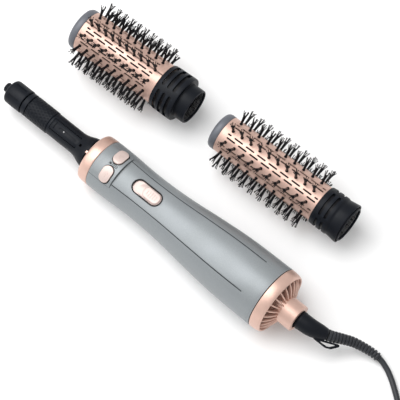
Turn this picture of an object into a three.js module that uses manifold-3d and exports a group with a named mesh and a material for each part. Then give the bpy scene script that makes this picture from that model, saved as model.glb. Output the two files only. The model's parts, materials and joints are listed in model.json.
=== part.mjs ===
// Rotating hot air brush: a handle with its driven spindle, a large and a small brush head
// that pull off, and a mains cord with a coil and a plug. Millimetres, +Z up, +X along the
// handle towards the cord, +Y towards the two heads. Everything lies on the plane z = 0.
import * as THREE from 'three';
import { mergeVertices } from 'three/addons/utils/BufferGeometryUtils.js';
import Module from 'manifold-3d';

const wasm = await Module();
wasm.setup();

// ---- driving dimensions -------------------------------------------------------------------
const GAP = 0.3; // between pieces that touch
const ROUND = 24; // sides of a turned piece
const WALL = 2.2; // of the handle's shells

// Stations along the handle's axis, from the front ring's face towards the cord.
const RING_END = 10.8;
const SHELL_END = 210.5;
const REAR_RIM = 221.3;
const TUBE_END = 242;
// Outer radius of the grip at a few stations: a waist behind the buttons, then a wide rear.
const GRIP = [[11.1, 24.2], [30, 24], [62, 22.9], [95, 24.1], [130, 27.4], [165, 30.1], [210.2, 30.9]];
const HANDLE_TILT = 2; // degrees: it rests on its wide rear and on the front ring
const HANDLE_ROLL = 6; // degrees: the controls face up and a little to the front
const HANDLE_HEIGHT = 24.05; // of the axis at the front ring's face

const BUTTON = { at: 27.3, length: 10.2, width: 16, angle: 24.4, top: 25.6, under: 22.6 };
const BEZEL = { from: 11.2, to: 36, half: 46, inner: 21.9, outer: 25 };
const SWITCH = { at: 67.5, length: 31, width: 13, travel: 6 };

const TIP = { face: -104, nub: -110, end: -84.3, r: 11.7, nubR: 4.75 };
const SPINDLE_R = 10.9;
const LATCH = { from: -49, to: -16, angle: -11, half: 5.6 };
const HUB = { outer: 13, inner: 10.6 }; // of the rear tube
const FAN = { from: 163, to: 176, hub: 8, r: 23.5, blades: 7 };
const FINS = 24;

const BRISTLE = 14.5; // how far the tufts stand out of a barrel
const TUFTS = 10; // in a row
const LARGE = {
  name: 'large', at: [-43, 88.7], yaw: 3.1, rows: 11, r: 20.5, cap: -52, start: -44,
  end: 45.3, mouth: 81.9, seat: 70, first: -37, last: 37,
};
const SMALL = {
  name: 'small', at: [120.4, 94.5], yaw: 2.1, rows: 9, r: 17.8, cap: -52, start: -44,
  end: 66.2, mouth: 98, seat: 96.4, first: -35, last: 57,
};

const CORD_D = 5.4;
const COIL = { x: 405, y: 23, mean: 33, width: 18, height: 18, lift: 1.8 };
const PLUG = { x: 440.6, y: 72, axis: 11.3, pins: 19, pinR: 2.4, pinLength: 19 };

// ---- helpers ------------------------------------------------------------------------------
const rad = THREE.MathUtils.degToRad;

// A closed geometry as a solid that can be cut and joined, facing out.
function solid(geometry) {
  const bare = new THREE.BufferGeometry();
  bare.setAttribute('position', geometry.getAttribute('position'));
  if (geometry.index) bare.setIndex(geometry.index);
  const merged = mergeVertices(bare, 1e-3);
  const p = merged.attributes.position.array;
  const index = merged.index.array;
  const triangles = [];
  let volume = 0;
  const a = new THREE.Vector3();
  const b = new THREE.Vector3();
  const c = new THREE.Vector3();
  for (let i = 0; i < index.length; i += 3) {
    const [u, v, w] = [index[i], index[i + 1], index[i + 2]];
    if (u === v || v === w || w === u) continue;
    triangles.push([u, v, w]);
    volume += a.fromArray(p, 3 * u).dot(b.fromArray(p, 3 * v).cross(c.fromArray(p, 3 * w)));
  }
  const triVerts = new Uint32Array(triangles.flatMap((t) => (volume < 0 ? [t[0], t[2], t[1]] : t)));
  return new wasm.Manifold(new wasm.Mesh({ numProp: 3, vertProperties: new Float32Array(p), triVerts }));
}

// A solid back as a geometry, without the slivers that a cut leaves.
function geometryOf(shape) {
  const mesh = shape.getMesh();
  const geometry = new THREE.BufferGeometry();
  const points = new Float32Array((mesh.vertProperties.length / mesh.numProp) * 3);
  for (let i = 0; i < points.length / 3; i++) {
    for (let k = 0; k < 3; k++) points[3 * i + k] = mesh.vertProperties[i * mesh.numProp + k];
  }
  geometry.setAttribute('position', new THREE.BufferAttribute(points, 3));
  geometry.setIndex(Array.from(mesh.triVerts));
  geometry.computeVertexNormals();
  return geometry;
}

const join = (...shapes) => shapes.reduce((sum, next) => sum.add(next));
const cut = (shape, ...tools) => tools.reduce((rest, tool) => rest.subtract(tool), shape);

// Turned about the X axis from a profile of [station, radius] points.
function turnedGeometry(profile, sides = ROUND) {
  const points = profile.map(([s, r]) => new THREE.Vector2(r, s));
  return new THREE.LatheGeometry(points, sides).rotateZ(-Math.PI / 2);
}
const turned = (profile, sides) => solid(turnedGeometry(profile, sides));
const tube = (s0, s1, r0, r1, sides) => turned([[s0, r0], [s1, r0], [s1, r1], [s0, r1], [s0, r0]], sides);
const rod = (s0, s1, r, sides) => turned([[s0, 0], [s0, r], [s1, r], [s1, 0]], sides);

function boxGeometry(x0, x1, y0, y1, z0, z1) {
  const box = new THREE.BoxGeometry(x1 - x0, y1 - y0, z1 - z0);
  return box.translate((x0 + x1) / 2, (y0 + y1) / 2, (z0 + z1) / 2);
}
const box = (...sides) => solid(boxGeometry(...sides));
// A box turned about the X axis; at 0 degrees it points up.
const turnedBox = (degrees, ...sides) => solid(boxGeometry(...sides).rotateX(-rad(degrees)));

// A rounded rectangle of length along X and width along Y, extruded from z0 to z1.
function pad(x, length, width, corner, z0, z1, degrees = 0) {
  const [l, w] = [length / 2 - corner, width / 2 - corner];
  const outline = new THREE.Shape();
  outline.absarc(l, w, corner, 0, Math.PI / 2);
  outline.absarc(-l, w, corner, Math.PI / 2, Math.PI);
  outline.absarc(-l, -w, corner, Math.PI, 1.5 * Math.PI);
  outline.absarc(l, -w, corner, 1.5 * Math.PI, 2 * Math.PI);
  const settings = { depth: z1 - z0, bevelEnabled: false, curveSegments: 3 };
  const body = new THREE.ExtrudeGeometry(outline, settings);
  return solid(body.translate(x, 0, z0).rotateX(-rad(degrees)));
}

// A wedge about the X axis from one angle to another, 0 degrees being up and 90 towards +Y.
function wedge(s0, s1, from, to, reach = 60) {
  const outline = new THREE.Shape([new THREE.Vector2(0, 0)]);
  outline.moveTo(0, 0);
  const steps = Math.ceil((to - from) / 30);
  for (let i = 0; i <= steps; i++) {
    const angle = rad(from + ((to - from) * i) / steps);
    outline.lineTo(reach * Math.sin(angle), reach * Math.cos(angle));
  }
  const body = new THREE.ExtrudeGeometry(outline, { depth: s1 - s0, bevelEnabled: false });
  const turn = new THREE.Matrix4().set(0, 0, 1, s0, 1, 0, 0, 0, 0, 1, 0, 0, 0, 0, 0, 1);
  return solid(body.applyMatrix4(turn));
}

// Bends a geometry that runs along +X from 0 onto a curve of that length.
function bent(geometry, curve, length) {
  const position = geometry.getAttribute('position');
  const point = new THREE.Vector3();
  const side = new THREE.Vector3();
  const up = new THREE.Vector3();
  for (let i = 0; i < position.count; i++) {
    point.fromBufferAttribute(position, i);
    const t = THREE.MathUtils.clamp(point.x / length, 0, 1);
    const along = curve.getTangentAt(t);
    side.crossVectors(new THREE.Vector3(0, 0, 1), along).normalize();
    up.crossVectors(along, side);
    const place = curve.getPointAt(t).addScaledVector(side, point.y).addScaledVector(up, point.z);
    position.setXYZ(i, place.x, place.y, place.z);
  }
  return geometry;
}

const vector = (p) => new THREE.Vector3(...p);
const flatPoints = (list) => list.map((p) => new THREE.Vector2(...p));
const smooth = (points) => new THREE.CatmullRomCurve3(points.map(vector), false, 'centripetal');

// ---- materials ----------------------------------------------------------------------------
const paint = (color, roughness, metalness = 0) => () => (
  new THREE.MeshStandardMaterial({ color, roughness, metalness })
);
const greyPlastic = paint(0x8c9496, 0.35, 0.2);
const roseMetal = paint(0xdeb8a8, 0.28, 0.9);
const blackPlastic = paint(0x2d3036, 0.45);
const bristleBlack = paint(0x17181a, 0.5);
const rubberBlack = paint(0x1c1d20, 0.8);
const steel = paint(0xb8bcc0, 0.3, 1);
const mica = paint(0xc9bd9a, 0.8);
const boardGreen = paint(0x2f6b45, 0.6);

function piece(group, name, shape, material) {
  const mesh = new THREE.Mesh(geometryOf(shape), material());
  mesh.name = name;
  group.add(mesh);
  return mesh;
}

// ---- handle -------------------------------------------------------------------------------
function gripProfile() {
  const curve = new THREE.SplineCurve(GRIP.map(([s, r]) => new THREE.Vector2(s, r)));
  return curve.getPoints(10).map((p) => [p.x, p.y]);
}

// One half of the grip's shell, upper for side = 1 and lower for side = -1.
function gripHalf(side) {
  const outer = gripProfile();
  const inner = outer.filter((_, i) => i % 2 === 0).map(([s, r]) => [s, r - WALL]).reverse();
  const shell = turned([...outer, ...inner, outer[0]]);
  const half = side > 0 ? box(0, 240, -50, 50, GAP / 2, 50) : box(0, 240, -50, 50, -50, -GAP / 2);
  return shell.intersect(half);
}

function upperShell() {
  const bezelSeat = wedge(BEZEL.from - 1, BEZEL.to + GAP, -BEZEL.half - 1, BEZEL.half + 1);
  const window = pad(SWITCH.at, SWITCH.length, SWITCH.width, 6, 15, 40);
  return cut(gripHalf(1), bezelSeat, window);
}

const buttonPad = (side, grow, z0, z1) => pad(
  BUTTON.at, BUTTON.length + grow, BUTTON.width + grow, 4.6, z0, z1, side * BUTTON.angle,
);

function buttonBezel() {
  const ring = tube(BEZEL.from, BEZEL.to, BEZEL.inner, BEZEL.outer);
  const arc = ring.intersect(wedge(0, 40, -BEZEL.half, BEZEL.half));
  return cut(arc, buttonPad(-1, 2 * GAP, 15, 30), buttonPad(1, 2 * GAP, 15, 30));
}

const button = (side) => buttonPad(side, 0, 18, 30).intersect(tube(0, 40, BUTTON.under, BUTTON.top));

function slideKnob() {
  const crown = tube(30, 90, 20.4, 22.7);
  const plate = pad(SWITCH.at + SWITCH.travel / 2, SWITCH.length - SWITCH.travel - 1, 11.6, 5.2, 10, 40);
  const raised = pad(SWITCH.at + SWITCH.travel / 2 + 2.5, 18, 10, 4, 21, 24.4);
  const stem = box(SWITCH.at + 1, SWITCH.at + 5, -2, 2, 19.1, 22);
  return join(crown.intersect(plate), raised, stem);
}

function frontRing() {
  const profile = [[0, 18.25], [0, 22.6], [1, 23.6], [RING_END - 0.6, 24.2], [RING_END, 24.1],
    [RING_END, 19.2], [4, 19.2], [4, 18.25], [0, 18.25]];
  return turned(profile);
}

function rearRing() {
  const profile = [[SHELL_END + GAP, 27.6], [SHELL_END + GAP, 30.9], [216, 30.7], [219.9, 30],
    [REAR_RIM, 29.3], [REAR_RIM, 27.6], [SHELL_END + GAP, 27.6]];
  return turned(profile);
}

function intakeGrille() {
  const rim = tube(SHELL_END + 2, 219.8, 26, 27.3);
  const hub = tube(200, TUBE_END, HUB.inner, HUB.outer, 24);
  const outline = new THREE.Shape(flatPoints([[215.4, 26.6], [219.6, 26.6], [227.4, 12.4], [222.4, 12.4]]));
  const fins = [];
  for (let i = 0; i < FINS; i++) {
    const fin = new THREE.ExtrudeGeometry(outline, { depth: 1.6, bevelEnabled: false });
    fins.push(solid(fin.translate(0, 0, -0.8).rotateX((2 * Math.PI * (i + 0.5)) / FINS)));
  }
  return join(rim, hub, ...fins);
}

// The spindle's fixed tube: a cone at the ring with air slots, and a spider that carries it.
function spindleBase() {
  const skin = turned([[-51.4, 9.1], [-51.4, SPINDLE_R], [-20, SPINDLE_R], [-12, 13], [-5, 15.5], [6, 15.5],
    [6, 14], [-4, 14], [-11, 11.4], [-19, 9.1], [-51.4, 9.1]], 24);
  const rim = tube(12, 15, 19.4, 21.3);
  const legs = [0, 120, 240].flatMap((a) => [
    turnedBox(a + 60, 12, 15, -2, 2, 14.2, 20),
    turnedBox(a + 60, 5, 15, -2, 2, 14.2, 15.4),
  ]);
  const slots = [0, 1, 2, 3, 4, 5].map((i) => turnedBox(60 * i + 30, -4, 3, -4.5, 4.5, 11, 20));
  const latchWindow = turnedBox(LATCH.angle, LATCH.from, LATCH.to, -LATCH.half, LATCH.half, 5, 20);
  return cut(join(skin, rim, ...legs), ...slots, latchWindow);
}

function latchTongue() {
  const [s0, s1, half] = [LATCH.from + 0.5, LATCH.to - 0.4, LATCH.half - 0.4];
  const strip = tube(s0, s1, 9.4, 10.7).intersect(turnedBox(LATCH.angle, s0, s1, -half, half, 5, 20));
  return join(strip, turnedBox(LATCH.angle, s0 + 1, s0 + 4, -3.4, 3.4, 9.8, 11.3));
}

const spindleSleeve = () => tube(-77.2, -51.7, 9.6, 11.4);
const spindleBearing = () => tube(-83.2, -78.3, 4.2, 11.3);

function driveTip() {
  const nose = [[TIP.nub, 0], [TIP.nub, 3.8], [TIP.nub + 1, TIP.nubR], [TIP.face, TIP.nubR]];
  const skin = [[TIP.face, 9.8], [TIP.face + 2, TIP.r], [TIP.end, TIP.r], [TIP.end, 9.8]];
  const hollow = [[-100, 9.8], [-100, 4.4], [-92, 4.4], [-92, 2.4], [-101, 2.4], [-101, 0]];
  const profile = [...nose, ...skin, ...hollow];
  return turned(profile);
}

const outputShaft = () => rod(-100.7, -76.3, 2.1, 12);
const shaftBush = () => tube(-90, -76.4, 2.45, 3.9, 16);
const gearbox = () => join(rod(-75.2, -50.8, 8.2, 20), rod(-76, -75, 3.5, 12));
const driveMotor = () => join(rod(-50.5, -24, 7.8, 20), rod(-24.5, -22, 3, 12));

function heaterFrame() {
  const upright = box(42, 134, -0.5, 0.5, -8, 8);
  return join(upright, box(42, 118, -0.5, 0.5, -10.7, 10.7), box(42, 118, -10.7, 10.7, -0.5, 0.5));
}

function heaterCoil() {
  const turns = 8;
  const steps = turns * 9;
  const points = [];
  for (let i = 0; i <= steps; i++) {
    const angle = (2 * Math.PI * turns * i) / steps;
    points.push([46 + (68 * i) / steps, 12.3 * Math.cos(angle), 12.3 * Math.sin(angle)]);
  }
  const section = new THREE.Shape();
  section.absarc(0, 0, 0.5, 0, 2 * Math.PI);
  const wire = { steps, curveSegments: 2, bevelEnabled: false, extrudePath: smooth(points) };
  return solid(new THREE.ExtrudeGeometry(section, wire));
}

const heaterSleeve = () => tube(40, 121, 13.15, 14.1, 24);
const thermalCutout = () => join(box(122, 132, 0.9, 4.9, -4, 4), box(120, 133, 1.5, 2.3, -3, 3));
const circuitBoard = () => box(16, 86, -9, 9, 14.6, 16.1);
function slideSwitchBody() {
  const s = SWITCH.at;
  return join(box(s - 10, s + 10, -4.5, 4.5, 16.4, 18.8), box(s - 8, s - 6, -3, 3, 16.4, 18.9));
}

function tactSwitch(side) {
  const s = BUTTON.at;
  const can = turnedBox(side * BUTTON.angle, s - 3, s + 3, -2.6, 2.6, 19.3, 20.6);
  const foot = side > 0 ? box(s - 2, s + 2, 6, 8.6, 16.4, 19.2) : box(s - 2, s + 2, -8.6, -6, 16.4, 19.2);
  return join(can, foot);
}

// The ring with vanes that guides the fan's air and holds its motor in a cup.
function fanShroud() {
  const ring = tube(148, 181, 24.8, 26.2);
  const cup = tube(146, 158, 12.4, 13.8, 24);
  const vanes = [0, 1, 2, 3, 4].map((i) => turnedBox(72 * i + 36, 149, 157, -0.8, 0.8, 13.4, 25.2));
  return join(ring, cup, ...vanes);
}

const fanMotor = () => join(rod(136, 160, 12, 24), rod(134, 137, 5, 12));

function fan() {
  const hub = cut(rod(FAN.from, FAN.to, FAN.hub, 20), rod(FAN.from - 1, FAN.to - 3, 1.8, 12));
  const blades = [];
  for (let i = 0; i < FAN.blades; i++) {
    const blade = boxGeometry(-0.7, 0.7, -5.6, 5.6, FAN.hub - 1, FAN.r);
    blade.rotateZ(rad(-50)).translate((FAN.from + FAN.to) / 2, 0, 0);
    blades.push(solid(blade.rotateX((2 * Math.PI * i) / FAN.blades)).intersect(rod(150, 190, FAN.r + 0.3)));
  }
  return join(hub, ...blades);
}

const fanShaft = () => rod(160.3, 172.7, 1.5, 12);
const cordClamp = () => cut(box(196, 199.5, -8, 8, -8, 8), rod(190, 205, CORD_D / 2 + GAP, 12));

function screw(s, angle, reach) {
  const shank = new THREE.CylinderGeometry(1.3, 1.3, 6, 8).rotateX(Math.PI / 2).translate(s, 0, reach - 3);
  const head = new THREE.CylinderGeometry(2.6, 2.6, 1.4, 12).rotateX(Math.PI / 2).translate(s, 0, reach);
  return join(solid(shank.rotateX(-rad(angle))), solid(head.rotateX(-rad(angle))));
}

// Pockets in the lower shell and the screws in them, seen from below.
const SCREWS = [
  { name: 'shell_screw_front', s: 45, reach: 22.2 },
  { name: 'shell_screw_rear', s: 190, reach: 29.6 },
];
function lowerShell() {
  const holes = SCREWS.map(({ s, reach }) => {
    const well = new THREE.CylinderGeometry(3, 3, 10, 12).rotateX(Math.PI / 2).translate(s, 0, reach + 4);
    const hole = new THREE.CylinderGeometry(1.7, 1.7, 20, 8).rotateX(Math.PI / 2).translate(s, 0, reach);
    return join(solid(well.rotateX(Math.PI)), solid(hole.rotateX(Math.PI)));
  });
  return cut(gripHalf(-1), ...holes);
}

function buildHandle() {
  const handle = new THREE.Group();
  piece(handle, 'front_ring', frontRing(), roseMetal);
  piece(handle, 'rear_ring', rearRing(), roseMetal);
  piece(handle, 'upper_shell', upperShell(), greyPlastic);
  piece(handle, 'lower_shell', lowerShell(), greyPlastic);
  for (const { name, s, reach } of SCREWS) piece(handle, name, screw(s, 180, reach), steel);
  piece(handle, 'intake_grille', intakeGrille(), roseMetal);
  piece(handle, 'spindle_base', spindleBase(), blackPlastic);
  piece(handle, 'latch_tongue', latchTongue(), blackPlastic);
  piece(handle, 'spindle_sleeve', spindleSleeve(), blackPlastic);
  piece(handle, 'spindle_bearing', spindleBearing(), blackPlastic);
  piece(handle, 'shaft_bush', shaftBush(), steel);
  piece(handle, 'gearbox', gearbox(), steel);
  piece(handle, 'drive_motor', driveMotor(), steel);
  piece(handle, 'drive_tip', driveTip(), blackPlastic);
  piece(handle, 'output_shaft', outputShaft(), steel);
  piece(handle, 'heater_frame', heaterFrame(), mica);
  piece(handle, 'heater_coil', heaterCoil(), steel);
  piece(handle, 'heater_sleeve', heaterSleeve(), mica);
  piece(handle, 'thermal_cutout', thermalCutout(), steel);
  piece(handle, 'circuit_board', circuitBoard(), boardGreen);
  piece(handle, 'slide_switch_body', slideSwitchBody(), steel);
  piece(handle, 'slide_knob', slideKnob(), roseMetal);
  piece(handle, 'button_bezel', buttonBezel(), greyPlastic);
  piece(handle, 'left_button', button(-1), roseMetal);
  piece(handle, 'right_button', button(1), roseMetal);
  piece(handle, 'left_tact_switch', tactSwitch(-1), blackPlastic);
  piece(handle, 'right_tact_switch', tactSwitch(1), blackPlastic);
  piece(handle, 'fan_shroud', fanShroud(), blackPlastic);
  piece(handle, 'fan_motor', fanMotor(), steel);
  piece(handle, 'fan_shaft', fanShaft(), steel);
  piece(handle, 'fan', fan(), blackPlastic);
  piece(handle, 'cord_clamp', cordClamp(), blackPlastic);
  handle.rotation.x = rad(HANDLE_ROLL);
  const tilted = new THREE.Group();
  tilted.add(handle);
  tilted.rotation.y = -rad(HANDLE_TILT);
  tilted.position.z = HANDLE_HEIGHT;
  return tilted;
}

// ---- brush heads --------------------------------------------------------------------------
const BARREL_WALL = 1.2;
const barrelEnd = (head) => head.end + 4;

function barrel(head) {
  const inner = head.r - BARREL_WALL;
  const skin = tube(head.start + GAP, barrelEnd(head), inner, head.r, 2 * head.rows);
  const slots = [];
  const [s0, s1] = [head.first - 3.5, head.last + 3.5];
  for (let i = 0; i < head.rows; i++) {
    slots.push(turnedBox((360 * i) / head.rows, s0, s1, -1.5, 1.5, inner - 3, head.r + 3));
  }
  return cut(skin, ...slots);
}

function endCap(head) {
  const plug = head.r - BARREL_WALL - GAP; // fits into the barrel
  const { cap, start, r } = head;
  const outside = [[cap, 0], [cap, r - 3], [cap + 1, r - 0.8], [cap + 2.6, r], [start, r]];
  const inside = [[start + 2.6, plug], [start + 2.6, r - 3.4], [start - 3, r - 3.4], [start - 3, 0]];
  return turned([...outside, [start, plug], ...inside], 2 * head.rows);
}

// A row of tufts side on: a rib with teeth that widen outwards.
function combOutline(head, facet) {
  const foot = (head.r - BARREL_WALL - GAP) * facet - 1;
  const rib = head.r * facet + 0.2;
  const points = [[head.first - 3, foot], [head.first - 3, rib]];
  for (let i = 0; i < TUFTS; i++) {
    const s = head.first + ((head.last - head.first) * i) / (TUFTS - 1);
    points.push([s - 1.1, rib], [s - 2.4, head.r + BRISTLE], [s + 2.4, head.r + BRISTLE], [s + 1.1, rib]);
  }
  points.push([head.last + 3, rib], [head.last + 3, foot]);
  return new THREE.Shape(points.map((p) => new THREE.Vector2(...p)));
}

// Three carriers, each with a few rows of tufts on ribs that stand through the barrel's slots.
function bristleCarrier(head, index) {
  const pitch = 360 / head.rows;
  const each = Math.ceil(head.rows / 3);
  const [first, last] = [index * each, Math.min(head.rows, (index + 1) * each) - 1];
  const outer = head.r - BARREL_WALL - GAP;
  const [s0, s1] = [head.first - 3, head.last + 3];
  const facet = Math.cos(Math.PI / (2 * head.rows));
  const skin = tube(s0, s1, outer * facet - 1.5, outer * facet - 0.1, 2 * head.rows);
  const sector = wedge(s0 - 1, s1 + 1, (first - 0.47) * pitch, (last + 0.47) * pitch);
  const parts = [skin.intersect(sector)];
  for (let row = first; row <= last; row++) {
    const comb = new THREE.ExtrudeGeometry(combOutline(head, facet), { depth: 2.2, bevelEnabled: false });
    comb.translate(0, 0, -1.1).rotateX(Math.PI / 2);
    parts.push(solid(comb.rotateX(-rad(row * pitch))));
  }
  return join(...parts);
}

// The hub inside the barrel that the drive tip turns.
function driveSocket(head) {
  const nub = head.seat - 110;
  const ring = turned([[nub - 1, 5.1], [nub - 1, 13.6], [nub + 22, 13.6], [nub + 22, 12.1], [nub + 5, 12.1],
    [nub + 5, 5.1], [nub - 1, 5.1]], 24);
  const reach = (head.r - BARREL_WALL - GAP) * Math.cos(Math.PI / (2 * head.rows)) - 1.5 - GAP;
  const spokes = [0, 120, 240].map((a) => turnedBox(a, nub, nub + 10, -1.2, 1.2, 12.8, reach - 0.2));
  return join(ring, ...spokes);
}

const COLLAR_SIDES = 18;
// Rows of four long slots round a collar, each 78 degrees long, from a first angle.
function slotRows(stations, width, inner, outer, first) {
  const cutters = [];
  for (const s of stations) {
    const ring = tube(s, s + width, inner, outer, COLLAR_SIDES);
    for (let i = 0; i < 4; i++) {
      const from = first + 90 * i;
      cutters.push(ring.intersect(wedge(s - 1, s + width + 1, from, from + 78)));
    }
  }
  return cutters;
}

function largeCollar() {
  const h = LARGE;
  const foot = [h.end + GAP, 20.85];
  const outside = [foot, [h.end + GAP, 21.6], [h.end + 5, 22.2], [h.seat - 3, 22.5], [h.seat, 22]];
  const spigot = [[h.seat, 17.6], [h.mouth, 17.5], [h.mouth, 16]];
  const inside = [[h.seat - 2, 16], [h.seat - 3, 20.4], [h.end + 4.3, 20.85], foot];
  const shell = turned([...outside, ...spigot, ...inside], COLLAR_SIDES);
  return cut(shell, ...slotRows([49.6, 55.8, 62], 3.5, 19, 25, -20));
}

function smallCollar() {
  const h = SMALL;
  const foot = [h.end + GAP, 18.1];
  const sleeve = [foot, [h.end + GAP, 18.9], [h.end + 4, 19.4], [h.end + 18, 19.4], [h.end + 20, 18.8]];
  const skirt = [[h.seat - 8, 18.8], [h.seat, 20.1], [h.seat, 18.7], [h.seat - 7, 17.5]];
  const spigot = [[h.mouth, 17.5], [h.mouth, 16], [h.seat - 10, 16]];
  const inside = [[h.seat - 11, 17.7], [h.end + 4.3, 18.1], foot];
  const shell = turned([...sleeve, ...skirt, ...spigot, ...inside], COLLAR_SIDES);
  return cut(shell, ...slotRows([71.8, 78], 2.8, 16.5, 22, -47));
}

const bearingRing = (head) => (
  tube(barrelEnd(head) + GAP, barrelEnd(head) + 1.6, head.r - 3.6, head.r - 0.6, 24)
);
const clipRing = (head) => (
  tube(head.mouth - 7, head.mouth - 2, 15.1, 15.75, 24).intersect(wedge(0, 120, 40, 320))
);

function buildHead(head, collar) {
  const group = new THREE.Group();
  piece(group, `${head.name}_end_cap`, endCap(head), greyPlastic);
  piece(group, `${head.name}_barrel`, barrel(head), roseMetal);
  ['a', 'b', 'c'].forEach((letter, i) => {
    piece(group, `${head.name}_bristles_${letter}`, bristleCarrier(head, i), bristleBlack);
  });
  piece(group, `${head.name}_drive_socket`, driveSocket(head), blackPlastic);
  piece(group, `${head.name}_collar`, collar, blackPlastic);
  piece(group, `${head.name}_bearing_ring`, bearingRing(head), steel);
  piece(group, `${head.name}_clip_ring`, clipRing(head), steel);
  group.rotation.z = rad(head.yaw);
  group.updateMatrixWorld(true);
  const lowest = new THREE.Box3().setFromObject(group, true).min.z;
  group.position.set(head.at[0], head.at[1], -lowest);
  return group;
}

// ---- cord ---------------------------------------------------------------------------------
// The elbow comes out of the rear tube, drops to the table and ends in a ribbed relief.
const ELBOW = [[238, 0.4, 32.3], [246, 0.6, 32.5], [254.6, 1.6, 31.4], [263.4, 4.8, 28.5], [268, 7, 26.4]];
const RELIEF = [
  [269, 7.6, 25.9], [272.5, 9.6, 24], [280.7, 15.6, 19], [288.2, 20.6, 14.6], [296.9, 24, 10.6],
  [305.7, 26.4, 7.2], [313.4, 27, 5.2],
];
const ROUTE = [
  [313.9, 27, 5.1], [322.2, 25.2, 3.4], [331.2, 21.1, 2.8], [339.6, 15.7, 2.75], [346.5, 10.7, 2.75],
  [356, 3.6, 2.75], [366.5, -2.5, 3],
];
const LEAD = [
  [443.4, 50, 12.2], [443, 57, 11.3], [442.2, 64, 11], [441.2, 69.5, 11.1], [PLUG.x, PLUG.y + 0.9, 11.2],
];

function cordElbow() {
  const curve = smooth(ELBOW);
  const length = curve.getLength();
  const stations = [0, 4, 8, 12, 16, 20, 24, 28, length].filter((s) => s <= length);
  const wall = stations.map((s) => [s, s < 6 ? 8.1 : 8.4 - 2.8 * (s / length) ** 3]);
  const inner = [...stations].reverse().map((s) => [s, CORD_D / 2 + GAP]);
  const body = solid(bent(turnedGeometry([...wall, ...inner, wall[0]], 16), curve, length));
  return join(body, hangLoop());
}

// A flat triangular eye beside the elbow's end, to hang the brush by.
function hangLoop() {
  const top = [[-14, -3.6], [-9, -3.6], [-6.5, -5.6], [13.5, -5.6]];
  const edge = [...top, [15, -7.4], [6.6, -11.6], [2.6, -11.6], [-10, -7]];
  const outline = new THREE.Shape(flatPoints(edge));
  const eye = new THREE.Path(flatPoints([[-4, -7.3], [3, -9.9], [6.2, -9.9], [11.4, -7.3]]));
  outline.holes.push(eye);
  const plate = new THREE.ExtrudeGeometry(outline, { depth: 2.4, bevelEnabled: false });
  const along = vector([0.745, 0.504, -0.434]).normalize();
  const across = vector([-0.45, 0.8, 0.4]).projectOnPlane(along).normalize();
  const frame = new THREE.Matrix4().makeBasis(along, across, along.clone().cross(across));
  return solid(plate.translate(0, 0, -1.2).applyMatrix4(frame).translate(...ELBOW[4]));
}

const RIBS = 9;
function strainRelief() {
  const curve = smooth(RELIEF);
  const length = curve.getLength();
  const profile = [];
  for (let i = 0; i < RIBS; i++) {
    const [s, r] = [(length * i) / RIBS, 5.2 - (1.2 * i) / RIBS];
    profile.push([s, r], [s + (length / RIBS) * 0.65, r], [s + (length / RIBS) * 0.66, r - 0.7]);
  }
  const bore = CORD_D / 2 + GAP;
  profile.push([length, 3.6], [length, bore], [length / 2, bore], [0, bore]);
  return solid(bent(turnedGeometry([...profile, profile[0]], 10), curve, length));
}

function cordTube(points, steps) {
  const section = new THREE.Shape();
  section.absarc(0, 0, CORD_D / 2, 0, 2 * Math.PI);
  const settings = { steps, curveSegments: 4, bevelEnabled: false, extrudePath: smooth(points) };
  return solid(new THREE.ExtrudeGeometry(section, settings));
}

function coilRing() {
  const [r0, r1] = [COIL.mean - COIL.width / 2, COIL.mean + COIL.width / 2];
  const [z0, z1] = [COIL.lift, COIL.lift + COIL.height];
  const below = [[r0, z0 + 2], [r0 + 2, z0], [r1 - 2, z0], [r1, z0 + 2]];
  const above = [[r1, z1 - 2], [r1 - 2, z1], [r0 + 2, z1], [r0, z1 - 2]];
  const profile = flatPoints([...below, ...above, below[0]]);
  const ring = new THREE.LatheGeometry(profile, 28).rotateX(Math.PI / 2);
  return solid(ring.translate(COIL.x, COIL.y, 0));
}

// A flat band round the coil's bundle, on the side away from the handle.
function cordTie() {
  const [w, h] = [COIL.width / 2, COIL.height / 2];
  const ring = (grow) => {
    const outline = new THREE.Shape();
    outline.absarc(w - 2, h - 2, 2 + grow, 0, Math.PI / 2);
    outline.absarc(2 - w, h - 2, 2 + grow, Math.PI / 2, Math.PI);
    outline.absarc(2 - w, 2 - h, 2 + grow, Math.PI, 1.5 * Math.PI);
    outline.absarc(w - 2, 2 - h, 2 + grow, 1.5 * Math.PI, 2 * Math.PI);
    return outline;
  };
  const band = ring(1.6);
  band.holes.push(ring(0.8));
  const body = new THREE.ExtrudeGeometry(band, { depth: 9, bevelEnabled: false, curveSegments: 3 });
  body.translate(0, 0, -4.5).rotateX(Math.PI / 2).translate(COIL.mean, 0, COIL.lift + h).rotateZ(rad(100));
  return solid(body.translate(COIL.x, COIL.y, 0));
}

// A round-ended mains plug on its side, its two pins pointing along +Y.
function plugBody() {
  const neck = [[0, 0], [0, 3.6], [6, 4.4], [12, 7], [17, 12]];
  const profile = [...neck, [20, 16.5], [34, 18], [36, 17.2], [36, 0]];
  const body = turnedGeometry(profile, 20).scale(1, 1, 0.62).rotateZ(Math.PI / 2);
  const bore = CORD_D / 2 + GAP;
  const mouth = turnedGeometry([[-1, 0], [-1, bore], [5, bore], [5, 0]], 12).rotateZ(Math.PI / 2);
  const shape = cut(solid(body), solid(mouth));
  const holes = [-1, 1].map((side) => solid(pinGeometry(side, PLUG.pinR + GAP, 30 - GAP)));
  return geometryShift(cut(shape, ...holes), PLUG.x, PLUG.y, PLUG.axis);
}

function pinGeometry(side, r, from) {
  const end = 36 + PLUG.pinLength;
  const pin = turnedGeometry([[from, 0], [from, r], [end - 1, r], [end, r - 0.8], [end, 0]], 10);
  return pin.rotateZ(Math.PI / 2).translate((side * PLUG.pins) / 2, 0, 0);
}

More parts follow.
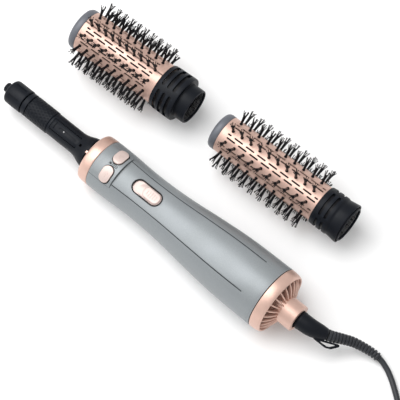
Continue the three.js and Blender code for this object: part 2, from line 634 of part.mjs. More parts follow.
const geometryShift = (shape, x, y, z) => solid(geometryOf(shape).translate(x, y, z));
const plugPin = (side) => solid(pinGeometry(side, PLUG.pinR, 30).translate(PLUG.x, PLUG.y, PLUG.axis));

function buildCord() {
  const cord = new THREE.Group();
  piece(cord, 'cord_elbow', cordElbow(), blackPlastic);
  piece(cord, 'strain_relief', strainRelief(), rubberBlack);
  piece(cord, 'cord_tube', cordTube(ROUTE, 12), rubberBlack);
  piece(cord, 'cord_coil', coilRing(), rubberBlack);
  piece(cord, 'cord_lead', cordTube(LEAD, 6), rubberBlack);
  piece(cord, 'cord_tie', cordTie(), blackPlastic);
  piece(cord, 'plug_body', plugBody(), blackPlastic);
  piece(cord, 'plug_pin_left', plugPin(-1), steel);
  piece(cord, 'plug_pin_right', plugPin(1), steel);
  return cord;
}

// ---- the set, with its origin at the middle of its footprint -------------------------------
const brush = new THREE.Group();
brush.add(buildHandle(), buildHead(LARGE, largeCollar()), buildHead(SMALL, smallCollar()));
const middle = new THREE.Box3().setFromObject(brush, true).getCenter(new THREE.Vector3());
brush.add(buildCord());
brush.position.set(-middle.x, -middle.y, 0);
brush.updateMatrixWorld(true);

export default brush;
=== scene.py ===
"""Rotating hot air brush: handle with its driven spindle, two loose brush heads and the mains cord."""
import json
import math
import random

import bpy
from bpy.props import FloatProperty, FloatVectorProperty, IntProperty, PointerProperty
from mathutils import Matrix, Vector


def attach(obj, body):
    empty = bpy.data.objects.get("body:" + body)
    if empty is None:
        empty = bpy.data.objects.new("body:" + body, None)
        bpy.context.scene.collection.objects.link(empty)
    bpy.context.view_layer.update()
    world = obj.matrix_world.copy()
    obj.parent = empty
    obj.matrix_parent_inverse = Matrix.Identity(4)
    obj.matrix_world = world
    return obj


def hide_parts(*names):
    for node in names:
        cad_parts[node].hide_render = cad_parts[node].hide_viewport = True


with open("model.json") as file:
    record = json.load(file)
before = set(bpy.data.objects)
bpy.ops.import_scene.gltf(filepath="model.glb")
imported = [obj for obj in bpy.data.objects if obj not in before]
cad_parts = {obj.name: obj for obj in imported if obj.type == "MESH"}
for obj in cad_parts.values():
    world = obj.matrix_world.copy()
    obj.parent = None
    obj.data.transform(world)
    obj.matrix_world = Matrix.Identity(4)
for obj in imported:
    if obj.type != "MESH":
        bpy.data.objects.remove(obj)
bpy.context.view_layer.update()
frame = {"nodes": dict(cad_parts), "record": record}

bl_info = {
    "name": "Hot Air Brush",
    "version": (1, 0, 0),
    "blender": (4, 5, 0),
    "location": "View3D > Sidebar > Hot Air Brush",
    "description": "Builds a rotating hot air brush with two brush heads and its cord",
    "category": "Mesh",
}

MM = 0.001
FULL_TURN = 2 * math.pi
SPIN_AXIS = (1, 0, 0)      # spins the top towards +Y
JOINTS = {joint["name"]: joint for joint in frame["record"]["behaviour"]["joints"]}


# ---- places taken from the frame ---------------------------------------------------------------
def frame_of(joint, station, up):
    """The matrix of an axis-wise part: X along the joint's axis, the given station at its point."""
    along = Vector(JOINTS[joint]["axis"]).normalized()
    up = (up - along * up.dot(along)).normalized()
    side = up.cross(along)
    turn = Matrix((along, side, up)).transposed().to_4x4()
    origin = Vector(JOINTS[joint]["pos_m"]) - along * station
    return Matrix.Translation(origin) @ turn


BUTTONS_OUT = -Vector(JOINTS["left_button_press"]["axis"]) - Vector(JOINTS["right_button_press"]["axis"])
HANDLE = frame_of("drive_spin", -0.104, BUTTONS_OUT)
HEAD_PLACE = {
    "large": frame_of("large_barrel_spin", 0, Vector((0, 0, 1))),
    "small": frame_of("small_barrel_spin", 0, Vector((0, 0, 1))),
}

# Stations along the handle's axis, in millimetres.
RING_END = 10.8
REAR_RING, REAR_RIM = 210.8, 221.3
TUBE_END = 242
GRIP = [(11.1, 24.2), (30, 24.0), (62, 22.9), (95, 24.1), (130, 27.4), (165, 30.1), (210.2, 30.9)]
BUTTON_AT, BUTTON_ANGLE = 27.3, 24.4
SWITCH_AT = 67.5
BEZEL_FROM, BEZEL_TO, BEZEL_HALF = 11.2, 36, 46
HUB_R, HUB_BORE = 13, 10.6
TIP_NUB, TIP_FACE, TIP_END, TIP_R = -110, -104, -84.3, 11.7
SPINDLE_R = 10.9
LATCH_FROM, LATCH_TO, LATCH_ANGLE = -49, -16, -11
FINS = 24
TUFTS = 10
BRISTLE = 14.5
BARREL_WALL = 1.2
HEADS = {
    "large": dict(rows=11, r=20.5, cap=-52, start=-44, end=45.3, mouth=81.9, seat=70, first=-37, last=37),
    "small": dict(rows=9, r=17.8, cap=-52, start=-44, end=66.2, mouth=98, seat=96.4, first=-35, last=57),
}


# ---- settings a user may change ----------------------------------------------------------------
class BrushSizes(bpy.types.PropertyGroup):
    """Sizes of the fine shapes."""
    edge: FloatProperty(name="Edge", description="Radius of moulded edges", default=0.3 * MM, unit="LENGTH")
    panel: FloatProperty(name="Panel", description="How flat the top panel is, from 0 to 1", default=0.35)
    sides: IntProperty(name="Sides", description="Sides of the large turned pieces", default=128)
    bristles: IntProperty(name="Bristles", description="Bristles in a tuft", default=7)
    tip: FloatProperty(name="Tip", description="Radius of a bristle's round tip", default=0.55 * MM, unit="LENGTH")
    slit: FloatProperty(name="Slit", description="Length of an air slit in a barrel", default=9.6 * MM, unit="LENGTH")
    cord: FloatProperty(name="Cord", description="Diameter of the mains cord", default=5.4 * MM, unit="LENGTH")


class BrushColours(bpy.types.PropertyGroup):
    """Colours of the finishes, linear."""
    grey: FloatVectorProperty(name="Grey", description="Satin grey of the grip", subtype="COLOR",
                              default=(0.25, 0.27, 0.28))
    rose: FloatVectorProperty(name="Rose gold", description="Rose gold of rings and barrels", subtype="COLOR",
                              default=(0.70, 0.475, 0.395))
    cap: FloatVectorProperty(name="Cap", description="Blue grey of the end caps", subtype="COLOR",
                             default=(0.13, 0.137, 0.157))
    black: FloatVectorProperty(name="Black", description="Black moulded plastic", subtype="COLOR",
                               default=(0.006, 0.0075, 0.011))
    bristle: FloatVectorProperty(name="Bristle", description="Black nylon", subtype="COLOR",
                                 default=(0.003, 0.003, 0.004))
    floor: FloatVectorProperty(name="Floor", description="Pale floor", subtype="COLOR", default=(0.94, 0.94, 0.94))


def sizes():
    return bpy.context.scene.brush_sizes


def colours():
    return bpy.context.scene.brush_colours


# ---- materials ---------------------------------------------------------------------------------
def node(tree, kind, **values):
    """A shader node with the given inputs set."""
    made = tree.nodes.new(kind)
    for key, value in values.items():
        if key in made.inputs:
            made.inputs[key].default_value = value
        else:
            setattr(made, key, value)
    return made


def new_material(name, **principled):
    """An empty material with one Principled shader, and a coordinate output to build on."""
    material = bpy.data.materials.new(name)
    material.use_nodes = True
    tree = material.node_tree
    shader = tree.nodes["Principled BSDF"]
    for key, value in principled.items():
        shader.inputs[key.replace("_", " ")].default_value = value
    place = tree.nodes.new("ShaderNodeTexCoord").outputs["Object"]
    return material, tree, shader, place


def noise(tree, place, scale, detail=3.0, roughness=0.55, stretch=None):
    """A noise value on the given coordinates, stretched along an axis where wanted."""
    if stretch:
        mapping = node(tree, "ShaderNodeMapping", Scale=stretch)
        tree.links.new(place, mapping.inputs["Vector"])
        place = mapping.outputs["Vector"]
    made = node(tree, "ShaderNodeTexNoise", Scale=scale, Detail=detail, Roughness=roughness)
    tree.links.new(place, made.inputs["Vector"])
    return made.outputs["Fac"]


def ramp(tree, value, low, high, start=0.35, stop=0.65):
    """Turns a value from 0 to 1 into a range, as a plain number."""
    made = node(tree, "ShaderNodeMapRange")
    made.inputs["From Min"].default_value, made.inputs["From Max"].default_value = start, stop
    made.inputs["To Min"].default_value, made.inputs["To Max"].default_value = low, high
    tree.links.new(value, made.inputs["Value"])
    return made.outputs["Result"]


def blend_colours(tree, factor, first, second):
    """A mix of two colours by a value."""
    made = tree.nodes.new("ShaderNodeMix")
    made.data_type = "RGBA"
    made.inputs[6].default_value, made.inputs[7].default_value = (*first, 1), (*second, 1)
    tree.links.new(factor, made.inputs[0])
    return made.outputs[2]


def bump(tree, shader, height, strength, distance):
    """Drives the shader's normal from a height."""
    made = node(tree, "ShaderNodeBump", Strength=strength, Distance=distance)
    tree.links.new(height, made.inputs["Height"])
    tree.links.new(made.outputs["Normal"], shader.inputs["Normal"])


def worn_edge(tree, strength):
    """0 on flat skin and 1 on worn convex edges, from the mesh's own pointiness."""
    geometry = tree.nodes.new("ShaderNodeNewGeometry")
    return ramp(tree, geometry.outputs["Pointiness"], 0, strength, 0.52, 0.62)


def shade(colour, factor):
    return tuple(min(1, c * factor) for c in colour)


def blend(colour, other, part):
    return tuple(a + (b - a) * part for a, b in zip(colour, other))


def grey_satin():
    """Satin lacquer with fine metal flake and slow unevenness."""
    material, tree, shader, place = new_material("grey_satin_lacquer", Metallic=0.3, Coat_Weight=0.1,
                                                 Coat_Roughness=0.3)
    base = colours().grey
    flake = noise(tree, place, 5200, 1, 0.5)
    slow = noise(tree, place, 28, 3)
    flaked = blend_colours(tree, ramp(tree, flake, 0, 1, 0.42, 0.62), shade(base, 0.9), shade(base, 1.16))
    mixed = tree.nodes.new("ShaderNodeMix")
    mixed.data_type, mixed.blend_type = "RGBA", "MULTIPLY"
    mixed.inputs[0].default_value = 1
    tree.links.new(flaked, mixed.inputs[6])
    tree.links.new(blend_colours(tree, ramp(tree, slow, 0, 1), (0.95, 0.95, 0.96), (1, 1, 1)), mixed.inputs[7])
    tree.links.new(mixed.outputs[2], shader.inputs["Base Color"])
    tree.links.new(ramp(tree, slow, 0.4, 0.48), shader.inputs["Roughness"])
    bump(tree, shader, flake, 0.08, 0.02 * MM)
    return material


def cap_lacquer():
    """Matt blue grey lacquer with a fine grain."""
    material, tree, shader, place = new_material("cap_lacquer", Metallic=0.25)
    base = colours().cap
    grain = noise(tree, place, 2400, 2, 0.5)
    slow = noise(tree, place, 40, 3)
    tree.links.new(blend_colours(tree, ramp(tree, grain, 0, 1), shade(base, 0.9), shade(base, 1.12)),
                   shader.inputs["Base Color"])
    tree.links.new(ramp(tree, slow, 0.42, 0.52), shader.inputs["Roughness"])
    bump(tree, shader, grain, 0.1, 0.02 * MM)
    return material


def rose_button():
    """Paler rose plastic of the keys, with a soft pearl."""
    material, tree, shader, place = new_material("rose_keys", Metallic=0.2)
    base = blend(colours().rose, (0.62, 0.52, 0.49), 0.8)
    pearl = noise(tree, place, 3200, 2)
    slow = noise(tree, place, 90, 3)
    tree.links.new(blend_colours(tree, ramp(tree, pearl, 0, 1), shade(base, 0.94), shade(base, 1.04)),
                   shader.inputs["Base Color"])
    tree.links.new(ramp(tree, slow, 0.34, 0.44), shader.inputs["Roughness"])
    bump(tree, shader, pearl, 0.05, 0.02 * MM)
    return material


def rose_plated():
    """Rose gold plating on a smooth moulding, a little uneven in gloss."""
    material, tree, shader, place = new_material("rose_gold_plating", Metallic=0.6)
    base = colours().rose
    slow = noise(tree, place, 60, 4)
    fine = noise(tree, place, 2600, 2)
    tree.links.new(blend_colours(tree, ramp(tree, slow, 0, 1), shade(base, 0.93), shade(base, 1.05)),
                   shader.inputs["Base Color"])
    tree.links.new(ramp(tree, slow, 0.36, 0.46), shader.inputs["Roughness"])
    bump(tree, shader, fine, 0.06, 0.02 * MM)
    return material


def rose_sheet():
    """Anodised rose gold sheet, brushed round the barrel."""
    material, tree, shader, place = new_material("rose_gold_sheet", Metallic=0.6)
    base = colours().rose
    brushed = noise(tree, place, 900, 3, 0.6, (3.2, 0.16, 0.16))
    slow = noise(tree, place, 45, 3)
    tree.links.new(blend_colours(tree, ramp(tree, brushed, 0, 1), shade(base, 0.84), shade(base, 1.0)),
                   shader.inputs["Base Color"])
    tree.links.new(ramp(tree, slow, 0.4, 0.5), shader.inputs["Roughness"])
    bump(tree, shader, brushed, 0.1, 0.02 * MM)
    return material


def black_plastic():
    """Black moulded plastic with a fine spark-eroded grain and paler worn edges."""
    material, tree, shader, place = new_material("black_moulding", Specular_IOR_Level=0.14)
    base = colours().black
    fine = noise(tree, place, 1900, 4, 0.6)
    slow = noise(tree, place, 70, 3)
    edge = worn_edge(tree, 0.5)
    tree.links.new(blend_colours(tree, edge, base, shade(base, 2.4)), shader.inputs["Base Color"])
    tree.links.new(ramp(tree, slow, 0.38, 0.5), shader.inputs["Roughness"])
    bump(tree, shader, fine, 0.25, 0.03 * MM)
    return material


def bristle_nylon():
    """Shiny black nylon."""
    material, tree, shader, place = new_material("black_nylon", Specular_IOR_Level=0.15)
    base = colours().bristle
    slow = noise(tree, place, 300, 2)
    tree.links.new(blend_colours(tree, ramp(tree, slow, 0, 1), base, shade(base, 2.2)), shader.inputs["Base Color"])
    tree.links.new(ramp(tree, slow, 0.32, 0.5), shader.inputs["Roughness"])
    return material


def cord_rubber():
    """Soft black sheath with a faint sheen and dust."""
    material, tree, shader, place = new_material("cord_sheath", Sheen_Weight=0.15, Sheen_Roughness=0.5)
    base = shade(colours().black, 1.15)
    fine = noise(tree, place, 1400, 3)
    slow = noise(tree, place, 90, 4)
    tree.links.new(blend_colours(tree, ramp(tree, slow, 0, 1), base, shade(base, 1.5)), shader.inputs["Base Color"])
    tree.links.new(ramp(tree, slow, 0.45, 0.62), shader.inputs["Roughness"])
    bump(tree, shader, fine, 0.2, 0.03 * MM)
    return material


def bright_steel():
    """Nickel plated steel with fine drawing marks."""
    material, tree, shader, place = new_material("nickel_steel", Metallic=1)
    drawn = noise(tree, place, 1200, 3, 0.6, (0.2, 2, 2))
    tree.links.new(blend_colours(tree, ramp(tree, drawn, 0, 1), (0.5, 0.5, 0.51), (0.66, 0.66, 0.67)),
                   shader.inputs["Base Color"])
    tree.links.new(ramp(tree, drawn, 0.22, 0.4), shader.inputs["Roughness"])
    bump(tree, shader, drawn, 0.1, 0.02 * MM)
    return material


def mica_board():
    """Pale flaky mica."""
    material, tree, shader, place = new_material("mica_board", Roughness=0.7)
    cloudy = noise(tree, place, 500, 5)
    tree.links.new(blend_colours(tree, ramp(tree, cloudy, 0, 1), (0.5, 0.42, 0.26), (0.7, 0.64, 0.48)),
                   shader.inputs["Base Color"])
    bump(tree, shader, cloudy, 0.4, 0.1 * MM)
    return material


def solder_board():
    """Green solder mask over faint tracks."""
    material, tree, shader, place = new_material("solder_mask", Coat_Weight=0.3)
    tracks = noise(tree, place, 700, 1, 0.5, (0.3, 1, 1))
    tree.links.new(blend_colours(tree, ramp(tree, tracks, 0, 1, 0.48, 0.52), (0.02, 0.12, 0.05), (0.04, 0.2, 0.09)),
                   shader.inputs["Base Color"])
    tree.links.new(ramp(tree, tracks, 0.3, 0.45), shader.inputs["Roughness"])
    return material


def painted_crease_shade():
    """Painted shade: dark lacquer for the faces at the bottom of a crease, standing in for the crease's shadow."""
    material, tree, shader, place = new_material("shaded_lacquer", Specular_IOR_Level=0.1)
    slow = noise(tree, place, 200, 3)
    tree.links.new(blend_colours(tree, ramp(tree, slow, 0, 1), (0.03, 0.033, 0.036), (0.05, 0.055, 0.06)),
                   shader.inputs["Base Color"])
    tree.links.new(ramp(tree, slow, 0.55, 0.7), shader.inputs["Roughness"])
    return material


def painted_shade_screen():
    """Woven screen in painted shade: reddish black standing in for the shaded inside of the grille and the rose light
    reflected from its fins.
    """
    material, tree, shader, place = new_material("dust_screen_mesh", Metallic=0.4, Roughness=0.5)
    weave = node(tree, "ShaderNodeTexVoronoi", Scale=1100.0)
    tree.links.new(place, weave.inputs["Vector"])
    tree.links.new(blend_colours(tree, ramp(tree, weave.outputs["Distance"], 0, 1, 0.2, 0.5), (0.09, 0.035, 0.03),
                                 (0.012, 0.006, 0.006)), shader.inputs["Base Color"])
    bump(tree, shader, weave.outputs["Distance"], 0.6, 0.15 * MM)
    return material


FINISHES = {
    "grey_satin": grey_satin,
    "cap_lacquer": cap_lacquer,
    "rose_keys": rose_button,
    "rose_plated": rose_plated,
    "rose_metal": rose_sheet,
    "black_plastic": black_plastic,
    "bristle": bristle_nylon,
    "cord_rubber": cord_rubber,
    "steel": bright_steel,
    "mica": mica_board,
    "board": solder_board,
    "painted_shade_screen": painted_shade_screen,
    "painted_crease_shade": painted_crease_shade,
}
made_finishes = {}


def finish_of(slot):
    """The material for one of the record's slots, made once."""
    if slot not in made_finishes:
        made_finishes[slot] = FINISHES[slot]()
    return made_finishes[slot]


# ---- modelling by operators --------------------------------------------------------------------
def deselect():
    if bpy.context.mode != "OBJECT":
        bpy.ops.object.mode_set(mode="OBJECT")
    bpy.ops.object.select_all(action="DESELECT")


def activate(piece):
    deselect()
    piece.select_set(True)
    bpy.context.view_layer.objects.active = piece


def named(name):
    piece = bpy.context.object
    piece.name = piece.data.name = name
    return piece


def drawn(name, points):
    """A chain of edges through the given points, in millimetres, left in edit mode and selected."""
    deselect()
    bpy.ops.mesh.primitive_plane_add(size=MM)
    piece = named(name)
    bpy.ops.object.mode_set(mode="EDIT")
    bpy.ops.mesh.select_all(action="SELECT")
    bpy.ops.mesh.merge(type="CENTER")
    bpy.ops.transform.translate(value=Vector(points[0]) * MM)
    for before, after in zip(points, points[1:]):
        step = (Vector(after) - Vector(before)) * MM
        bpy.ops.mesh.extrude_region_move(TRANSFORM_OT_translate={"value": step})
    bpy.ops.mesh.select_all(action="SELECT")
    bpy.ops.mesh.remove_doubles(threshold=1e-6)
    return piece


def turned(name, profile, steps=64):
    """Spun about X from a profile of (station, radius) points in millimetres."""
    piece = drawn(name, [(s, 0, r) for s, r in profile])
    bpy.ops.mesh.spin(steps=steps, angle=FULL_TURN, center=(0, 0, 0), axis=(1, 0, 0))
    bpy.ops.mesh.select_all(action="SELECT")
    bpy.ops.mesh.remove_doubles(threshold=2e-6)
    bpy.ops.mesh.normals_make_consistent(inside=False)
    deselect()
    return piece


def arc_block(name, s0, s1, r0, r1, start, stop, steps=8):
    """A block that runs round X from one angle to another, in degrees from the top towards +Y."""
    outline = [(s0, 0, r0), (s1, 0, r0), (s1, 0, r1), (s0, 0, r1), (s0, 0, r0)]
    return arc_piece(name, outline, start, stop, steps)


def arc_piece(name, outline, start, stop, steps):
    """A closed outline of (station, 0, radius) points swept round X from one angle to another."""
    piece = drawn(name, outline)
    bpy.ops.mesh.edge_face_add()
    bpy.ops.mesh.spin(steps=steps, angle=math.radians(stop - start), center=(0, 0, 0), axis=SPIN_AXIS)
    bpy.ops.mesh.select_all(action="SELECT")
    bpy.ops.mesh.remove_doubles(threshold=2e-6)
    bpy.ops.mesh.normals_make_consistent(inside=False)
    deselect()
    piece.data.transform(round_x(start))
    return piece


def round_x(degrees):
    """A turn about X that takes the top towards +Y."""
    return Matrix.Rotation(-math.radians(degrees), 4, "X")


def plate(name, outline, low, high, axis="Z"):
    """An outline of (x, y) points in millimetres, filled and extruded from low to high."""
    piece = drawn(name, [(x, y, low) for x, y in [*outline, outline[0]]])
    bpy.ops.mesh.edge_face_add()
    bpy.ops.mesh.extrude_region_move(TRANSFORM_OT_translate={"value": (0, 0, (high - low) * MM)})
    bpy.ops.mesh.select_all(action="SELECT")
    bpy.ops.mesh.normals_make_consistent(inside=False)
    deselect()
    if axis == "Y":
        piece.data.transform(Matrix.Rotation(math.pi / 2, 4, "X"))
    return piece


def rounded(length, width, corner, steps=6, middle=0):
    """The outline of a rounded rectangle, as (x, y) points in millimetres."""
    points = []
    for quarter, (sx, sy) in enumerate([(1, 1), (-1, 1), (-1, -1), (1, -1)]):
        for i in range(steps + 1):
            angle = math.pi / 2 * (quarter + i / steps)
            points.append((middle + sx * (length / 2 - corner) + corner * math.cos(angle),
                           sy * (width / 2 - corner) + corner * math.sin(angle)))
    return points


def apply_modifier(piece, kind, **values):
    activate(piece)
    modifier = piece.modifiers.new(kind.lower(), kind)
    for key, value in values.items():
        setattr(modifier, key, value)
    bpy.ops.object.modifier_apply(modifier=modifier.name)


def combine(piece, other, operation="DIFFERENCE", solver="EXACT"):
    """Cuts, joins or trims a piece with another, which is used up."""
    apply_modifier(piece, "BOOLEAN", object=other, operation=operation, solver=solver)
    bpy.data.objects.remove(other)


def copies(piece, places):
    """Joins a copy of a piece at each place into one mesh, and uses the piece up."""
    made = []
    for place in places:
        copy = piece.copy()
        copy.data = piece.data.copy()
        copy.data.transform(place)
        bpy.context.collection.objects.link(copy)
        made.append(copy)
    name = piece.name
    bpy.data.objects.remove(piece)
    return joined(name, made)


def joined(name, parts):
    deselect()
    for part in parts:
        part.select_set(True)
    bpy.context.view_layer.objects.active = parts[0]
    bpy.ops.object.join()
    return named(name)


def soften(piece, width=None, segments=2, limit=32):
    """A small radius on the edges sharper than the limit."""
    apply_modifier(piece, "BEVEL", width=width or sizes().edge, segments=segments, limit_method="ANGLE",
                   angle_limit=math.radians(limit), use_clamp_overlap=True)


def settle(piece, place, body, slot, nodes=(), finish=None, smooth=38):
    """Puts a finished piece in its place with its finish, body and the nodes it stands for."""
    piece.data.transform(place)
    activate(piece)
    bpy.ops.object.shade_smooth_by_angle(angle=math.radians(smooth))
    piece.data.materials.clear()
    piece.data.materials.append(finish_of(finish or slot))
    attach(piece, body)
    if nodes:
        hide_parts(*nodes)
    return piece


def spline(points, samples):
    """Points on a smooth curve through the given ones."""
    found = [Vector(p) for p in points]
    ends = [2 * found[0] - found[1], *found, 2 * found[-1] - found[-2]]
    line = []
    for a, b, c, d in zip(ends, ends[1:], ends[2:], ends[3:]):
        for i in range(samples):
            t = i / samples
            line.append(0.5 * (2 * b + (c - a) * t + (2 * a - 5 * b + 4 * c - d) * t * t
                               + (3 * b - a - 3 * c + d) * t ** 3))
    return [*line, found[-1]]


def reshape(piece, move):
    """Moves every vertex of a piece, given and returned in millimetres."""
    for vertex in piece.data.vertices:
        vertex.co = Vector(move(vertex.co / MM)) * MM
    piece.data.update()


def lathe_shift(piece, change):
    """Changes the angle and radius about X of every vertex; change(s, angle, r) gives (angle, r)."""
    def move(co):
        angle, r = change(co.x, math.atan2(co.y, co.z), math.hypot(co.y, co.z))
        return (co.x, r * math.sin(angle), r * math.cos(angle))
    reshape(piece, move)


def bend_onto(piece, line):
    """Bends a piece that runs along X from 0 onto a line of points, with its top kept upward."""
    stations = [0]
    for a, b in zip(line, line[1:]):
        stations.append(stations[-1] + (b - a).length)

    def move(co):
        at = min(max(co.x, 0), stations[-1] - 1e-6)
        i = max(k for k in range(len(line) - 1) if stations[k] <= at)
        part = (at - stations[i]) / (stations[i + 1] - stations[i])
        before = line[i] - line[max(i - 1, 0)] if i else line[1] - line[0]
        after = line[i + 1] - line[i]
        along = before.normalized().lerp(after.normalized(), 0.5 + part / 2).normalized()
        side = Vector((0, 0, 1)).cross(along).normalized()
        return line[i].lerp(line[i + 1], part) + side * co.y + along.cross(side) * co.z
    reshape(piece, move)
    return stations[-1]


def cutter_pad(name, at, length, width, corner, low, high, degrees=0):
    piece = plate(name, rounded(length, width, corner, middle=at), low, high)
    piece.data.transform(round_x(degrees))
    return piece


def ease(t):
    t = min(max(t, 0), 1)
    return t * t * (3 - 2 * t)


# ---- the mains cord ----------------------------------------------------------------------------
SHIFT = Vector((-66.1195, -48.9624, 0))      # from the set's drawing to the middle of its footprint
ROUTE = [(307, 26.6, 6.9), (313.4, 27, 5.2), (322.2, 25.2, 3.4), (331.2, 21.1, 2.8), (339.6, 15.7, 2.75),
         (346.5, 10.7, 2.75), (356, 3.6, 2.75), (366.5, -2.5, 3), (377, -8.2, 3.6), (390, -13, 4.4)]
LEAD = [(443.3, 32, 15.5), (443.6, 41, 13.9), (443.4, 50, 12.2), (443, 57, 11.3), (442.2, 64, 11),
        (441.2, 70, 11.1), (440.6, 76, 11.3)]
COIL_MIDDLE, COIL_PITCH, COIL_LOW = Vector((405, 23, 0)), 5.62, 4.7
COIL_START = math.radians(-100.8)            # where the route reaches the coil; it leaves at 0
PLUG = (440.6, 72, 11.3)


def coil_turns(length):
    """Turns of that length in all: in along the bottom, up inside, out and down, and up outside."""
    order = [(1, 0), (0, 0), (-1, 0), (-1, 1), (-1, 2), (0, 2), (0, 1), (1, 1), (1, 2)]
    steps = 16
    count = len(order) - 1 - COIL_START / FULL_TURN
    mean = (length / FULL_TURN + COIL_PITCH * (1 + COIL_START / FULL_TURN)) / count
    points = []
    for i in range(round(count * steps) + 1):
        turn, part = divmod(i / steps, 1)
        here = order[int(turn)]
        after = order[min(int(turn) + 1, len(order) - 1)]
        part = ease((part - 0.6) / 0.4)
        r = mean + COIL_PITCH * (here[0] + (after[0] - here[0]) * part)
        z = COIL_LOW + COIL_PITCH * (here[1] + (after[1] - here[1]) * part)
        angle = COIL_START + FULL_TURN * i / steps
        points.append(COIL_MIDDLE + Vector((r * math.cos(angle), r * math.sin(angle), z)))
    return points


def line_length(points):
    return sum((b - a).length for a, b in zip(points, points[1:]))


def cord_curve(name, points, diameter):
    """A round cord on one open spline through the points, in metres."""
    deselect()
    bpy.ops.curve.primitive_bezier_curve_add()
    cord = named(name)
    spline_in = cord.data.splines[0]
    spline_in.bezier_points.add(len(points) - len(spline_in.bezier_points))
    for knot, point in zip(spline_in.bezier_points, points):
        knot.co = point
        knot.handle_left_type = knot.handle_right_type = "AUTO"
    spline_in.resolution_u = 5
    cord.data.bevel_depth, cord.data.bevel_resolution = diameter / 2, 4
    cord.data.use_fill_caps = True
    return cord


# ---- operators ---------------------------------------------------------------------------------
class BRUSH_OT_cord(bpy.types.Operator):
    """Lays the mains cord from its relief to the coil and the plug"""
    bl_idname = "brush.cord"
    bl_label = "Mains Cord"

    def execute(self, context):
        length = 1.8
        route = [Vector(p) for p in ROUTE]
        lead = [Vector(p) for p in LEAD]
        coil = coil_turns(length / MM - line_length(route) - line_length(lead) - 21)
        points = [(p + SHIFT) * MM for p in [*route, *coil, *lead]]
        cord = cord_curve("mains_cord", points, sizes().cord)
        cord.data.materials.append(finish_of("cord_rubber"))
        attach(cord, "handle")
        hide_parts("cord_tube", "cord_coil", "cord_lead")
        self.plug()
        return {"FINISHED"}

    def plug(self):
        """The round-ended plug on its side with its two pins."""
        neck = [(0, 2.9), (0, 3.4), (0.6, 3.7), (4, 3.9), (7, 4.5), (12, 7), (15.4, 10.2), (17.6, 12.8)]
        grip = [(19, 15.2), (20.6, 16.6), (24, 17.2), (28, 17.4), (33, 17.9), (34.6, 17.8), (36, 16.6), (36, 0)]
        profile = [*neck, *grip]
        moulding = turned("plug_moulding", [(0, 0), *profile], 96)
        moulding.data.transform(Matrix.Diagonal((1, 1, 0.62, 1)))
        grooves = [turned("groove", [(s, 16), (s, 22), (s + 1.1, 22), (s + 1.1, 16), (s, 16)], 64)
                   for s in (24.5, 27.3, 30.1)]
        groove = joined("grooves", grooves)
        groove.data.transform(Matrix.Diagonal((1, 1, 0.64, 1)))
        combine(moulding, groove)
        soften(moulding, 0.25 * MM, 2)
        place = Matrix.Translation((Vector(PLUG) + SHIFT) * MM) @ Matrix.Rotation(math.pi / 2, 4, "Z")
        settle(moulding, place, "handle", "black_plastic", ["plug_body"])
        pin = turned("plug_pins", [(32, 0), (32, 2.4), (53.4, 2.4), (54.6, 1.9), (55, 1.1), (55, 0)], 32)
        sides = [Matrix.Translation((0, y * MM, 0)) for y in (-9.5, 9.5)]
        pins = copies(pin, sides)
        settle(pins, place, "handle", "steel", ["plug_pin_left", "plug_pin_right"])


class BRUSH_OT_cord_exit(bpy.types.Operator):
    """Makes the elbow that turns out of the rear tube, its hanging eye and the ribbed relief"""
    bl_idname = "brush.cord_exit"
    bl_label = "Elbow and Relief"

    def execute(self, context):
        self.elbow()
        self.relief()
        return {"FINISHED"}

    def elbow(self):
        line = spline([(238, .4, 32.3), (246, .6, 32.5), (254.6, 1.6, 31.4), (263.4, 4.8, 28.5), (268, 7, 26.4)], 8)
        length = line_length(line)
        skin = [(s, 8.4 - 2.8 * (s / length) ** 3) for s in range(8, int(length), 2)]
        collar = [(0, 0), (0, 7.9), (0.4, 8.3), (5.2, 8.3), (5.6, 8.6), (6.6, 8.6)]
        bend = turned("cord_elbow_bend", [*collar, *skin, (length - 0.4, 5.6), (length, 5.1), (length, 0)], 64)
        bend_onto(bend, line)
        eye = self.eye()
        elbow = joined("cord_elbow_bend", [bend, eye])
        settle(elbow, Matrix.Translation(SHIFT * MM), "handle", "black_plastic", ["cord_elbow"])

    def eye(self):
        edge = [(-14, -3.6), (-9, -3.6), (-6.5, -5.5), (13, -5.5), (14.4, -5.9), (14.9, -7), (14.3, -8), (8, -11.3),
                (6.6, -11.6), (2.6, -11.6), (0.8, -11.1), (-10, -7)]
        hole = [(-4, -7.2), (-3.7, -7.8), (2.2, -9.7), (3.2, -9.9), (6, -9.9), (7, -9.6), (11.2, -7.7), (11.4, -7.2)]
        eye = plate("eye", edge, -1.3, 1.3)
        combine(eye, plate("eye_hole", hole, -4, 4))
        soften(eye, 0.6 * MM, 3, 40)
        along = Vector((0.745, 0.504, -0.434)).normalized()
        across = Vector((-0.45, 0.8, 0.4))
        across = (across - along * across.dot(along)).normalized()
        turn = Matrix((along, across, along.cross(across))).transposed().to_4x4()
        eye.data.transform(Matrix.Translation(Vector((268, 7, 26.4)) * MM) @ turn)
        return eye

    def relief(self):
        line = spline([(269, 7.6, 25.9), (272.5, 9.6, 24), (280.7, 15.6, 19), (288.2, 20.6, 14.6),
                       (296.9, 24, 10.6), (305.7, 26.4, 7.2), (313.4, 27, 5.2)], 8)
        length, ribs = line_length(line), 16
        profile = [(0, 0)]
        for i in range(ribs):
            s, r, pitch = length * i / ribs, 5.3 - 1.3 * i / ribs, length / ribs
            profile += [(s, r - 0.25), (s + 0.1 * pitch, r), (s + 0.5 * pitch, r), (s + 0.6 * pitch, r - 0.25)]
            profile += [(s + 0.64 * pitch, r - 1.2), (s + 0.96 * pitch, r - 1.2)]
        relief = turned("relief_ribs", [*profile, (length, 3.7), (length, 0)], 40)
        bend_onto(relief, line)
        settle(relief, Matrix.Translation(SHIFT * MM), "handle", "cord_rubber", ["strain_relief"])


